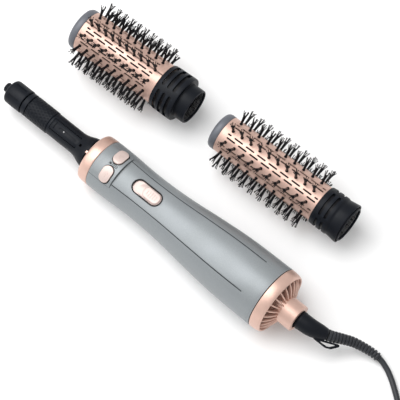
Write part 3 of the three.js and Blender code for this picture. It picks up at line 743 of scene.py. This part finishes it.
class BRUSH_OT_grip(bpy.types.Operator):
    """Makes the two halves of the grip with the flatter panel along its top"""
    bl_idname = "brush.grip"
    bl_label = "Grip"

    def execute(self, context):
        upper = self.half("grip_upper")
        lower = self.half("grip_lower")
        lower.data.transform(Matrix.Rotation(math.pi, 4, "X"))
        lathe_shift(upper, self.panel)
        seat = arc_block("seat", 10, BEZEL_TO + 0.3, 15, 40, -BEZEL_HALF - 0.9, BEZEL_HALF + 0.9, 32)
        combine(upper, seat)
        combine(upper, cutter_pad("window", SWITCH_AT, 31, 13, 6.2, 15, 40))
        soften(upper, 0.25 * MM, 2, 40)
        for s, reach in ((45, 22.2), (190, 29.6)):
            well = turned("well", [(reach - 1, 0), (reach - 1, 3), (reach + 9, 3), (reach + 9, 0)], 40)
            well.data.transform(Matrix.Translation((s * MM, 0, 0)) @ Matrix.Rotation(math.pi / 2, 4, "Y"))
            combine(lower, well)
        soften(lower, 0.25 * MM, 2, 40)
        # the faces in the two crease grooves get painted shade, a dark colour standing in for their shadow
        grooves = [face.index for face in upper.data.polygons if self.in_crease(face.center / MM)]
        settle(upper, HANDLE, "handle", "grey_satin", ["upper_shell"], smooth=30)
        upper.data.materials.append(finish_of("painted_crease_shade"))
        for index in grooves:
            upper.data.polygons[index].material_index = 1
        settle(lower, HANDLE, "handle", "grey_satin", ["lower_shell"], smooth=30)
        return {"FINISHED"}

    def half(self, name):
        """A half shell round the top, open below, with its wall."""
        outer = [(p.x, p.y) for p in spline([(s, r, 0) for s, r in GRIP], 8)]
        end = GRIP[-1][0]
        outer = [(11.1, 23.7), (11.4, 24.05), *outer[1:-1], (end - 0.3, 30.9), (end, 30.6)]
        inner = [(s, r - 2.2) for s, r in outer[2:-2:4]][::-1]
        gap = math.degrees(0.15 / 27)
        steps = sizes().sides // 2
        profile = [*outer, (end, 28.6), *inner, (11.1, 21.9)]
        piece = drawn(name, [(s, 0, r) for s, r in [*profile, profile[0]]])
        bpy.ops.mesh.edge_face_add()
        bpy.ops.mesh.spin(steps=steps, angle=math.pi - math.radians(2 * gap), center=(0, 0, 0), axis=SPIN_AXIS)
        bpy.ops.mesh.select_all(action="SELECT")
        bpy.ops.mesh.remove_doubles(threshold=2e-6)
        bpy.ops.mesh.normals_make_consistent(inside=False)
        deselect()
        piece.data.transform(round_x(gap - 90))
        return piece

    def crease(self, s):
        """The crease's angle from the top, in degrees."""
        return 37 - 3 * min(max((s - 28) / 160, 0), 1)

    def in_crease(self, middle):
        """Whether a face of the upper half lies in one of the two grooves."""
        angle = abs(math.degrees(math.atan2(middle.y, middle.z)))
        outside = math.hypot(middle.y, middle.z) > 21.5
        return BEZEL_TO < middle.x < 190 and outside and abs(angle - self.crease(middle.x)) < 1.1

    def panel(self, s, angle, r):
        """Gathers the columns onto the two creases and draws the top between them flatter."""
        crease = self.crease(s)
        strength = ease((s - 11) / 12) * ease((202 - s) / 30)
        step = 360 / sizes().sides
        column = abs(math.degrees(angle)) / step
        last = 12                        # the column that follows the crease
        if column < last - 0.5:
            made = column * (crease - 1) / (last - 1)
            flat = r * math.cos(math.radians(crease)) / math.cos(math.radians(made))
            r += (flat - r) * strength * sizes().panel
        elif column < last + 0.5:
            made, r = crease, r - 0.6 * strength
        else:
            made = crease + 1 + (column - last - 1) * (90 - crease - 1) / (90 / step - last - 1)
        return math.copysign(math.radians(made), angle), r


class BRUSH_OT_rings(bpy.types.Operator):
    """Makes the rose gold rings at the two ends of the grip"""
    bl_idname = "brush.rings"
    bl_label = "Rings"

    def execute(self, context):
        front = [(0.5, 18.25), (0, 18.8), (0, 22.1), (0.25, 22.7), (0.9, 23.35), (2, 23.75), (5, 24.05),
                 (9.6, 24.2), (10.3, 24.15), (RING_END, 23.8), (RING_END, 19.2), (4, 19.2), (4, 18.25), (0.5, 18.25)]
        ring = turned("front_ring_turned", front, sizes().sides)
        settle(ring, HANDLE, "handle", "rose_plated", ["front_ring"])
        s = REAR_RING
        rear = [(s + 0.3, 27.6), (s, 28), (s, 30.55), (s + 0.3, 30.9), (s + 2.5, 30.9), (s + 5.5, 30.65),
                (s + 8, 30.25), (s + 9.4, 29.8), (s + 10.1, 29.4), (REAR_RIM, 28.9), (REAR_RIM, 28.4),
                (s + 10.2, 27.9), (s + 9.6, 27.6), (s + 0.3, 27.6)]
        ring = turned("rear_ring_turned", rear, sizes().sides)
        settle(ring, HANDLE, "handle", "rose_plated", ["rear_ring"])
        return {"FINISHED"}


class BRUSH_OT_grille(bpy.types.Operator):
    """Makes the air grille: curved fins between its rim and the rear tube, and a screen behind them in painted shade"""
    bl_idname = "brush.grille"
    bl_label = "Air Grille"

    def execute(self, context):
        outside = [(219.6, 26.8), (221.4, 25.4), (223.2, 23), (225, 19.8), (226.4, 16.4), (227.6, HUB_R)]
        inside = [(222, HUB_R), (221.4, 16), (220, 20), (218, 24), (215.4, 26.8)]
        fin = plate("grille_fins", [*outside, *inside], -0.65, 0.65)
        fin.data.transform(Matrix.Rotation(math.pi / 2, 4, "X"))
        soften(fin, 0.4 * MM, 3, 40)
        fins = copies(fin, [Matrix.Rotation(FULL_TURN * (i + 0.5) / FINS, 4, "X") for i in range(FINS)])
        rim = turned("rim", [(212.5, 26), (212.5, 27.3), (219.5, 27.3), (219.9, 27), (219.9, 26.3), (219.5, 26),
                             (212.5, 26)], sizes().sides)
        hub = [(200, HUB_BORE), (200, HUB_R), (TUBE_END - 1, HUB_R), (TUBE_END - 0.3, HUB_R - 0.2),
               (TUBE_END, HUB_R - 0.8), (TUBE_END, 9.3), (TUBE_END - 3, 9.3), (TUBE_END - 3, HUB_BORE), (200, HUB_BORE)]
        grille = joined("grille_fins", [fins, rim, turned("hub", hub, 96)])
        settle(grille, HANDLE, "handle", "rose_plated", ["intake_grille"])
        # the screen's reddish black is painted shade and painted rose reflection from the fins
        screen = turned("dust_screen", [(210, 13.3), (210, 27), (210.6, 27), (210.6, 13.3), (210, 13.3)], 64)
        settle(screen, HANDLE, "handle", "black_plastic", finish="painted_shade_screen")
        return {"FINISHED"}


class BRUSH_OT_controls(bpy.types.Operator):
    """Makes the two turning buttons in their island, and the slide switch"""
    bl_idname = "brush.controls"
    bl_label = "Buttons and Switch"

    def execute(self, context):
        self.island()
        self.buttons()
        self.switch()
        return {"FINISHED"}

    def island(self):
        steps = [BEZEL_FROM + (BEZEL_TO - BEZEL_FROM) * i / 10 for i in range(11)]
        profile = [*((s, 0, 25) for s in steps), (BEZEL_TO, 0, 21.9), (BEZEL_FROM, 0, 21.9), (BEZEL_FROM, 0, 25)]
        block = arc_piece("button_island", profile, -BEZEL_HALF, BEZEL_HALF, 64)

        def crown(s, angle, r):
            if r < 24:
                return angle, r
            return angle, 24.1 + 0.9 * ease((BEZEL_HALF - abs(math.degrees(angle))) / 13) * ease((s - 11) / 9)
        lathe_shift(block, crown)
        for side in (-1, 1):
            combine(block, cutter_pad("hole", BUTTON_AT + 0.3, 12, 18, 5.6, 18, 30, side * BUTTON_ANGLE))
        combine(block, cutter_pad("bridge_pit", BUTTON_AT + 0.4, 9.6, 3, 0.6, 24.4, 30))
        soften(block, 0.4 * MM, 3, 40)
        settle(block, HANDLE, "handle", "grey_satin", ["button_bezel"], smooth=30)
        ribs = [cutter_pad("bridge_ribs", BUTTON_AT + at, 0.8, 2.6, 0.3, 24.2, 25.1) for at in (-1, 0.6, 2.2, 3.8)]
        for rib in ribs:
            soften(rib, 0.2 * MM, 2)
        settle(joined("bridge_ribs", ribs), HANDLE, "handle", "grey_satin")
        lamp = cutter_pad("bridge_lamp", BUTTON_AT - 3, 1.6, 1.6, 0.75, 24.2, 25.1)
        soften(lamp, 0.25 * MM, 2)
        settle(lamp, HANDLE, "handle", "black_plastic")

    def buttons(self):
        for name, body, side in (("left_turn_button", "left_button", -1), ("right_turn_button", "right_button", 1)):
            button = cutter_pad(name, BUTTON_AT, 10.4, 16.4, 4.9, 18, 32, side * BUTTON_ANGLE)
            crown = turned("crown", [(0, 22.7), (50, 22.7), (50, 26), (0, 26), (0, 22.7)], 192)
            combine(button, crown, "INTERSECT")
            soften(button, 0.7 * MM, 4, 50)
            marks = [arc_block("mark", BUTTON_AT + at - 0.3, BUTTON_AT + at + 0.3, 25.7, 26.15,
                               side * BUTTON_ANGLE - reach, side * BUTTON_ANGLE + reach)
                     for at, reach in ((-1.5, 4), (0, 7), (1.5, 4))]
            settle(joined(name, [button, *marks]), HANDLE, body, "rose_plated", [body], "rose_keys", 45)
            # painted shade: a black ring below the gap round each key, standing in for the shadow in that gap
            painted_gap_shade = cutter_pad(f"{body}_seal", BUTTON_AT + 0.3, 11.9, 17.9, 5.55, 19, 23.4, side * BUTTON_ANGLE)
            combine(painted_gap_shade, cutter_pad("inner", BUTTON_AT, 10.9, 16.9, 5.1, 15, 26, side * BUTTON_ANGLE))
            settle(painted_gap_shade, HANDLE, "handle", "bristle")

    def switch(self):
        middle = SWITCH_AT + 3
        knob = cutter_pad("slide_switch_plate", middle, 24, 11.6, 5.4, 16, 32)
        crown = turned("crown", [(30, 20.2), (99, 20.2), (99, 22.3), (30, 22.3), (30, 20.2)], 192)
        combine(knob, crown, "INTERSECT")
        soften(knob, 0.3 * MM, 3, 50)
        pad = cutter_pad("pad", middle + 2.5, 18, 10.4, 4.6, 21, 23.8)
        soften(pad, 0.9 * MM, 4, 50)
        marks = [cutter_pad("mark", middle + 2.5 + step * 2.4, 0.7, 6.4 - abs(step), 0.3, 23.5, 24.1)
                 for step in (-2, -1, 0, 1, 2)]
        for mark in marks:
            soften(mark, 0.15 * MM, 2)
        knob = joined("slide_switch_plate", [knob, pad, *marks])
        settle(knob, HANDLE, "slide_knob", "rose_plated", ["slide_knob"], "rose_keys", 45)
        tray = cutter_pad("switch_tray", SWITCH_AT, 30.4, 12.4, 5.9, 18.9, 20)
        settle(tray, HANDLE, "handle", "rose_plated", finish="rose_keys")
        # painted shade: a black ring below the gap round the switch, standing in for the shadow in that gap
        painted_gap_shade = cutter_pad("switch_seal", SWITCH_AT, 32.6, 14.6, 7, 18.9, 22)
        combine(painted_gap_shade, cutter_pad("inner", SWITCH_AT, 30.8, 12.8, 6.1, 15, 26))
        settle(painted_gap_shade, HANDLE, "handle", "bristle")


class BRUSH_OT_spindle(bpy.types.Operator):
    """Makes the fixed spindle: flared foot, latch, dimpled sleeve and bearing"""
    bl_idname = "brush.spindle"
    bl_label = "Spindle"

    def execute(self, context):
        self.foot()
        self.sleeve()
        self.latch()
        bearing = turned("spindle_bearing_ring", [(-83.2, 4.2), (-83.2, 10.9), (-82.8, 11.3), (-78.7, 11.3),
                                                  (-78.3, 10.9), (-78.3, 4.2), (-83.2, 4.2)], 96)
        settle(bearing, HANDLE, "handle", "black_plastic", ["spindle_bearing"])
        return {"FINISHED"}

    def foot(self):
        skin = [(-51.4, 9.1), (-51.4, 10.5), (-51, SPINDLE_R), (-21, SPINDLE_R), (-18, 11.25), (-14.6, 12.1),
                (-11, 13.5), (-8, 14.6), (-5, 15.3), (-2, 15.5), (6, 15.5), (6, 14), (-4, 14), (-11, 11.4), (-19, 9.1),
                (-51.4, 9.1)]
        foot = turned("spindle_foot", skin, 96)
        slots = [cutter_pad("slot", -0.5, 7, 9, 1.2, 10, 20, 60 * i + 30) for i in range(6)]
        combine(foot, joined("slots", slots))
        middle, length = (LATCH_FROM + LATCH_TO) / 2, LATCH_TO - LATCH_FROM
        combine(foot, cutter_pad("latch_window", middle, length, 11.2, 1, 5, 20, LATCH_ANGLE))
        combine(foot, cutter_pad("peep", -12.8, 2.6, 2.6, 0.3, 5, 20, LATCH_ANGLE))
        spider = turned("spider", [(12, 19.4), (12, 21.3), (15, 21.3), (15, 19.4), (12, 19.4)], 96)
        legs = [cutter_pad("leg", 13.5, 3, 4, 0.4, 14.2, 20, a) for a in (60, 180, 300)]
        legs += [cutter_pad("leg", 10, 10, 4, 0.4, 14.2, 15.4, a) for a in (60, 180, 300)]
        settle(joined("spindle_foot", [foot, spider, *legs]), HANDLE, "handle", "black_plastic", ["spindle_base"],
               smooth=32)
        contact = cutter_pad("foot_contact", -2.4, 3.6, 2.6, 0.5, 14.6, 16.1, LATCH_ANGLE - 4)
        soften(contact, 0.3 * MM)
        settle(contact, HANDLE, "handle", "rose_plated")

    def sleeve(self):
        rings = [(-77.2 + 25.5 * i / 51, 11.4) for i in range(52)]
        profile = [(-77.2, 9.6), (-77.2, 11.0), *rings[1:-1], (-51.7, 11.0), (-51.7, 9.6), (-77.2, 9.6)]
        sleeve = turned("dimpled_sleeve", profile, 160)

        def dimple(s, angle, r):
            if r < 11.3:
                return angle, r
            row = (s + 75.4) / 3.1
            column = angle / FULL_TURN * 20 + (0.5 if round(row) % 2 else 0)
            away = math.hypot((row - round(row)) * 3.1, (column - round(column)) * 3.58)
            inside = -75.9 < s < -53
            return angle, r - (0.55 * ease(1 - away / 1.25) if inside else 0)
        lathe_shift(sleeve, dimple)
        settle(sleeve, HANDLE, "handle", "black_plastic", ["spindle_sleeve"], smooth=50)

    def latch(self):
        s0, s1 = LATCH_FROM + 0.4, LATCH_TO - 0.3
        side = math.degrees(5.3 / 10.8)
        tongue = arc_block("latch_strip", s0, s1, 9.5, 10.7, LATCH_ANGLE - side, LATCH_ANGLE + side, 16)
        combine(tongue, cutter_pad("channel", (s0 + s1) / 2 + 3, 20, 3, 1.2, 10.2, 12, LATCH_ANGLE))
        soften(tongue, 0.3 * MM, 2, 40)
        catch = arc_block("catch", s0 + 1, s0 + 4, 9.9, 11.35, LATCH_ANGLE - 18, LATCH_ANGLE + 18, 12)
        soften(catch, 0.45 * MM, 3, 40)
        settle(joined("latch_strip", [tongue, catch]), HANDLE, "latch", "black_plastic", ["latch_tongue"])
        rivet = turned("spindle_rivet", [(10, 0), (10, 0.9), (10.7, 0.8), (11, 0.5), (11.1, 0)], 32)
        upright = Matrix.Translation((-34 * MM, 0, 0)) @ Matrix.Rotation(-math.pi / 2, 4, "Y")
        rivet.data.transform(round_x(LATCH_ANGLE) @ upright)
        settle(rivet, HANDLE, "latch", "steel")


class BRUSH_OT_drive_tip(bpy.types.Operator):
    """Makes the rounded tip with its nub, which turns the heads"""
    bl_idname = "brush.drive_tip"
    bl_label = "Drive Tip"

    def execute(self, context):
        nub = [(TIP_NUB, 0), (TIP_NUB, 3.6), (TIP_NUB + 0.3, 4.3), (TIP_NUB + 1, 4.7), (TIP_FACE - 0.4, 4.75),
               (TIP_FACE, 5.1)]
        face = [(TIP_FACE, 9.2), (TIP_FACE + 0.3, 10.2), (TIP_FACE + 1.1, 11.1), (TIP_FACE + 2.4, 11.6)]
        skirt = [(TIP_FACE + 4, TIP_R), (TIP_END - 0.4, TIP_R), (TIP_END, 11.3), (TIP_END, 9.8)]
        bore = [(-100, 9.8), (-100, 4.4), (-92, 4.4), (-92, 2.4), (-101, 2.4), (-101, 0)]
        tip = turned("drive_tip_cap", [*nub, *face, *skirt, *bore], 96)
        flutes = [cutter_pad("flute", -93.6, 12, 1.4, 0.65, TIP_R - 0.5, TIP_R + 2, 60 * i + 30) for i in range(6)]
        combine(tip, joined("flutes", flutes))
        settle(tip, HANDLE, "drive", "black_plastic", ["drive_tip"], smooth=32)
        return {"FINISHED"}


# ---- brush heads -------------------------------------------------------------------------------
def bristle(lean, heading, height):
    """One bristle from the top of its bundle to its round tip, in millimetres above the barrel."""
    deselect()
    bpy.ops.mesh.primitive_circle_add(vertices=5, radius=0.32 * MM, fill_type="NOTHING")
    stem = named("bristle")
    bpy.ops.object.mode_set(mode="EDIT")
    out = Vector((math.cos(heading), math.sin(heading), 0))
    knots = [out * 0.8 + Vector((0, 0, 5.5)), out * (1 + lean) + Vector((0, 0, 8.8)),
             out * (1.1 + 3.4 * lean) + Vector((0, 0, height))]
    bpy.ops.transform.translate(value=knots[0] * MM)
    for before, after in zip(knots, knots[1:]):
        bpy.ops.mesh.extrude_region_move(TRANSFORM_OT_translate={"value": (after - before) * MM})
    bpy.ops.mesh.select_all(action="SELECT")
    bpy.ops.mesh.normals_make_consistent(inside=False)
    deselect()
    bpy.ops.mesh.primitive_ico_sphere_add(subdivisions=1, radius=sizes().tip, location=knots[-1] * MM)
    return joined("bristle", [stem, baked("ball")])


def baked(name):
    """The new primitive with its place moved into its mesh."""
    piece = named(name)
    piece.data.transform(piece.matrix_world)
    piece.matrix_world = Matrix.Identity(4)
    return piece


def tuft():
    """A thick bundle that splits into bristles near its top, with the grommet it grows from."""
    count = sizes().bristles
    stems = [bristle(0.08, 1, BRISTLE - 0.8)]
    for i in range(count - 1):
        heading = FULL_TURN * i / (count - 1) + 0.3
        stems.append(bristle(0.28 + 0.12 * (i % 2), heading, BRISTLE - 1.1 - 0.6 * (i % 3)))
    deselect()
    bpy.ops.mesh.primitive_cone_add(vertices=9, radius1=1 * MM, radius2=1.55 * MM, depth=9.8 * MM,
                                    location=(0, 0, 4.4 * MM))
    trunk = baked("trunk")
    deselect()
    bpy.ops.mesh.primitive_cone_add(vertices=10, radius1=1.8 * MM, radius2=1.4 * MM, depth=1.6 * MM,
                                    location=(0, 0, 0.1 * MM))
    return joined("tuft", [*stems, trunk, baked("grommet")])


class HeadOperator:
    """What the two brush heads share."""
    head = ""

    def barrel(self):
        """One sector with its air slits and tuft holes, repeated round the barrel."""
        h = HEADS[self.head]
        pitch = 360 / h["rows"]
        s0, s1 = h["start"] + 0.3, h["end"] + 4
        sector = arc_block(f"{self.head}_barrel_sheet", s0, s1, h["r"] - BARREL_WALL, h["r"], 0, pitch, 12)
        long, short, step = sizes().slit / MM, 4, 13
        count = int((h["last"] - h["first"]) / step)
        rows = {-1: [(h["first"] + 3.5 + step * i, long) for i in range(count + 1)],
                1: [(h["first"] - 0.4, short), *((h["first"] + 9.8 + step * i, long) for i in range(count)),
                    (h["first"] + 6.9 + step * count, short)]}
        cutters = [cutter_pad("slit", at, length, 1.6, 0.75, h["r"] - 4, h["r"] + 4, pitch * (0.5 + side * 0.145))
                   for side, slits in rows.items() for at, length in slits]
        combine(sector, joined("slits", cutters))
        barrel = copies(sector, [round_x(pitch * i) for i in range(h["rows"])])
        activate(barrel)
        bpy.ops.object.mode_set(mode="EDIT")
        bpy.ops.mesh.select_all(action="SELECT")
        bpy.ops.mesh.remove_doubles(threshold=5e-6)
        bpy.ops.mesh.normals_make_consistent(inside=False)
        deselect()
        self.put(barrel, "barrel", "rose_metal", ["barrel"], smooth=30)

    def slit_shade_tube(self):
        """Painted shade: a black tube just inside the barrel, seen through the slits, standing in for the shadow inside
        them.
        """
        h = HEADS[self.head]
        s0, s1, r = h["start"] + 3, h["end"] + 3.6, h["r"] - 1.5
        slit_shade_tube = turned(f"{self.head}_liner", [(s0, r - 0.6), (s0, r), (s1, r), (s1, r - 0.6), (s0, r - 0.6)], 96)
        self.put(slit_shade_tube, "barrel", "bristle", [])

    def put(self, piece, body, slot, parts, finish=None, smooth=38):
        nodes = [f"{self.head}_{part}" for part in parts]
        settle(piece, HEAD_PLACE[self.head], f"{self.head}_head_{body}", slot, nodes, finish, smooth)

    def cap(self):
        h = HEADS[self.head]
        r, front = h["r"], h["cap"]
        crown = [(front, 0), (front, r - 3.8), (front + 0.2, r - 2.7), (front + 0.8, r - 1.4), (front + 1.8, r - 0.5),
                 (front + 3, r - 0.05), (front + 4, r + 0.15), (h["start"] - 0.5, r + 0.15), (h["start"], r - 0.2)]
        plug = [(h["start"], r - 1.5), (h["start"] + 2.6, r - 1.5), (h["start"] + 2.6, r - 3.4), (h["start"] - 3, r - 3.4),
                (h["start"] - 3, 0)]
        self.put(turned(f"{self.head}_cap_turned", [*crown, *plug], sizes().sides), "barrel", "grey_satin",
                 ["end_cap"], "cap_lacquer")

    def tufts(self):
        """Three carriers of tuft rows, each tuft turned a little so that no two look the same."""
        h = HEADS[self.head]
        chance = random.Random(7)
        pattern = tuft()
        each = math.ceil(h["rows"] / 3)
        for index, letter in enumerate("abc"):
            places = []
            for row in range(index * each, min(h["rows"], (index + 1) * each)):
                for i in range(TUFTS):
                    s = h["first"] + (h["last"] - h["first"]) * i / (TUFTS - 1)
                    twist = Matrix.Rotation(chance.uniform(0, FULL_TURN), 4, "Z")
                    lean = Matrix.Rotation(math.radians(chance.uniform(-3, 3)), 4, "Y")
                    lift = Matrix.Translation((s * MM, 0, h["r"] * MM))
                    places.append(round_x(360 * row / h["rows"]) @ lift @ lean @ twist)
            source = pattern.copy()
            source.data = pattern.data.copy()
            source.name = f"{self.head}_tufts_{letter}"
            bpy.context.collection.objects.link(source)
            self.put(copies(source, places), "barrel", "bristle", [f"bristles_{letter}"])
        bpy.data.objects.remove(pattern)

    def arc_slots(self, stations, width, low, high, first):
        """Cutters for rows of four long slots with rounded ends round the collar."""
        end = math.degrees(width / 2 / HEADS[self.head]["r"])
        cutters = []
        for s in stations:
            for i in range(4):
                start = first + 90 * i
                cutters.append(arc_block("arc", s, s + width, low, high, start + end, start + 78 - end, 28))
                for angle in (start + end, start + 78 - end):
                    bpy.ops.mesh.primitive_cylinder_add(vertices=24, radius=width / 2 * MM, depth=(high - low) * MM)
                    tip = named("tip")
                    tip.data.transform(round_x(angle) @ Matrix.Translation(Vector((s + width / 2, 0, (low + high) / 2)) * MM))
                    cutters.append(tip)
        return cutters

    def slot_shade_lining(self, s0, s1, r):
        """Painted shade: a black tube inside the collar, behind its slots, standing in for the shadow seen through
        them.
        """
        slot_shade_lining = turned(f"{self.head}_collar_lining", [(s0, r - 0.3), (s0, r), (s1, r), (s1, r - 0.3), (s0, r - 0.3)], 96)
        self.put(slot_shade_lining, "mount", "bristle", [])


class BRUSH_OT_large_head(HeadOperator, bpy.types.Operator):
    """Makes the large brush head"""
    bl_idname = "brush.large_head"
    bl_label = "Large Head"
    head = "large"

    def execute(self, context):
        h = HEADS["large"]
        end, seat, mouth = h["end"], h["seat"], h["mouth"]
        outside = [(end + 0.3, 20.85), (end + 0.3, 21.4), (end + 0.8, 21.7), (end + 5, 22.2), (seat - 5, 22.5),
                   (seat - 1.6, 22.5), (seat - 0.5, 22.3), (seat, 21.8)]
        spigot = [(seat, 17.9), (seat + 0.3, 17.6), (mouth - 1, 17.5), (mouth - 0.3, 17.3), (mouth, 16.9), (mouth, 16)]
        inside = [(seat - 2, 16), (seat - 3, 20.4), (end + 4.3, 20.85), (end + 0.3, 20.85)]
        collar = turned("large_collar_turned", [*outside, *spigot, *inside], sizes().sides)
        for cutter in self.arc_slots((49.6, 55.8, 62), 3.5, 19.8, 25, -20):
            combine(collar, cutter)
        self.slot_shade_lining(end + 4.5, seat - 3.3, 20.3)
        self.put(collar, "mount", "black_plastic", ["collar"], smooth=32)
        self.barrel()
        self.slit_shade_tube()
        self.cap()
        self.tufts()
        return {"FINISHED"}


class BRUSH_OT_small_head(HeadOperator, bpy.types.Operator):
    """Makes the small brush head"""
    bl_idname = "brush.small_head"
    bl_label = "Small Head"
    head = "small"

    def execute(self, context):
        h = HEADS["small"]
        end, seat, mouth = h["end"], h["seat"], h["mouth"]
        sleeve = [(end + 0.3, 18.1), (end + 0.3, 18.7), (end + 0.8, 19), (end + 4, 19.4), (end + 17.4, 19.4),
                  (end + 18, 19.3), (end + 18.6, 18.9), (end + 20, 18.8)]
        skirt = [(seat - 10, 18.8), (seat - 9, 18.9), (seat - 0.6, 20.05), (seat, 19.8), (seat, 18.9)]
        spigot = [(seat - 7, 17.5), (mouth - 0.6, 17.5), (mouth, 17), (mouth, 16), (seat - 10, 16)]
        inside = [(seat - 11, 17.7), (end + 4.3, 18.1), (end + 0.3, 18.1)]
        collar = turned("small_collar_turned", [*sleeve, *skirt, *spigot, *inside], sizes().sides)
        for cutter in self.arc_slots((71.8, 78), 2.8, 17, 22, -47):
            combine(collar, cutter)
        self.slot_shade_lining(end + 4.5, seat - 11.3, 17.6)
        self.put(collar, "mount", "black_plastic", ["collar"], smooth=32)
        self.barrel()
        self.slit_shade_tube()
        self.cap()
        self.tufts()
        return {"FINISHED"}


class BRUSH_OT_inner_parts(bpy.types.Operator):
    """Gives every part that still shows its finish"""
    bl_idname = "brush.inner_parts"
    bl_label = "Inner Parts"

    def execute(self, context):
        for part in frame["record"]["subparts"]:
            shown = frame["nodes"][part["node"]]
            shown.data.materials.clear()
            shown.data.materials.append(finish_of(part["material_slot"]))
        return {"FINISHED"}


class BRUSH_OT_stage(bpy.types.Operator):
    """Sets the camera, the floor and the light"""
    bl_idname = "brush.stage"
    bl_label = "Camera and Light"

    def execute(self, context):
        self.camera()
        self.floor()
        self.light("sky_panel", 36, 1.6, (-0.7, -0.2, 2.1))
        self.light("front_panel", 10, 1.2, (-1.2, -1.2, 1.4))
        context.scene.view_settings.view_transform = "Standard"
        world = bpy.data.worlds.new("studio")
        world.use_nodes = True
        background = world.node_tree.nodes["Background"]
        background.inputs["Color"].default_value = (1, 1, 1, 1)
        background.inputs["Strength"].default_value = 0.66
        context.scene.world = world
        return {"FINISHED"}

    def camera(self):
        data = bpy.data.cameras.new("view")
        data.lens, data.sensor_width = 184.96, 36
        camera = bpy.data.objects.new("view", data)
        bpy.context.collection.objects.link(camera)
        camera.location = Vector((499.01, -550.07, 1734.17)) * MM
        target = Vector((34.362, -18.425, 25)) * MM
        camera.rotation_euler = (target - camera.location).to_track_quat("-Z", "Y").to_euler()
        bpy.context.scene.camera = camera

    def floor(self):
        deselect()
        bpy.ops.mesh.primitive_plane_add(size=8, location=(0, 0, -0.0002))
        floor = named("floor")
        material, tree, shader, place = new_material("pale_floor")
        slow = noise(tree, place, 3, 3)
        base = colours().floor
        tree.links.new(blend_colours(tree, ramp(tree, slow, 0, 1), shade(base, 0.985), base), shader.inputs["Base Color"])
        tree.links.new(ramp(tree, slow, 0.5, 0.6), shader.inputs["Roughness"])
        floor.data.materials.append(material)

    def light(self, name, power, size, place):
        data = bpy.data.lights.new(name, "AREA")
        data.energy, data.size = power, size
        lamp = bpy.data.objects.new(name, data)
        lamp.location = place
        lamp.rotation_euler = (-Vector(place)).to_track_quat("-Z", "Y").to_euler()
        bpy.context.collection.objects.link(lamp)


class BRUSH_PT_panel(bpy.types.Panel):
    """Lists the steps that build the brush"""
    bl_label = "Hot Air Brush"
    bl_idname = "BRUSH_PT_panel"
    bl_space_type = "VIEW_3D"
    bl_region_type = "UI"
    bl_category = "Hot Air Brush"

    def draw(self, context):
        for group in (context.scene.brush_sizes, context.scene.brush_colours):
            for name in group.bl_rna.properties.keys():
                if name not in ("rna_type", "name"):
                    self.layout.prop(group, name)
        for step in STEPS:
            self.layout.operator(step.bl_idname)


STEPS = (BRUSH_OT_stage, BRUSH_OT_cord, BRUSH_OT_cord_exit, BRUSH_OT_grip, BRUSH_OT_rings, BRUSH_OT_grille,
         BRUSH_OT_controls, BRUSH_OT_spindle, BRUSH_OT_drive_tip, BRUSH_OT_large_head, BRUSH_OT_small_head,
         BRUSH_OT_inner_parts)
CLASSES = (BrushSizes, BrushColours, *STEPS, BRUSH_PT_panel)


def register():
    for each in CLASSES:
        bpy.utils.register_class(each)
    bpy.types.Scene.brush_sizes = PointerProperty(type=BrushSizes)
    bpy.types.Scene.brush_colours = PointerProperty(type=BrushColours)


def unregister():
    del bpy.types.Scene.brush_sizes
    del bpy.types.Scene.brush_colours
    for each in reversed(CLASSES):
        bpy.utils.unregister_class(each)


def main():
    for name in ("Cube", "Light", "Camera"):
        if name in bpy.data.objects:
            bpy.data.objects.remove(bpy.data.objects[name])
    register()
    for step in STEPS:
        group, name = step.bl_idname.split(".")
        getattr(getattr(bpy.ops, group), name)()
    deselect()


if __name__ == "__main__":
    main()
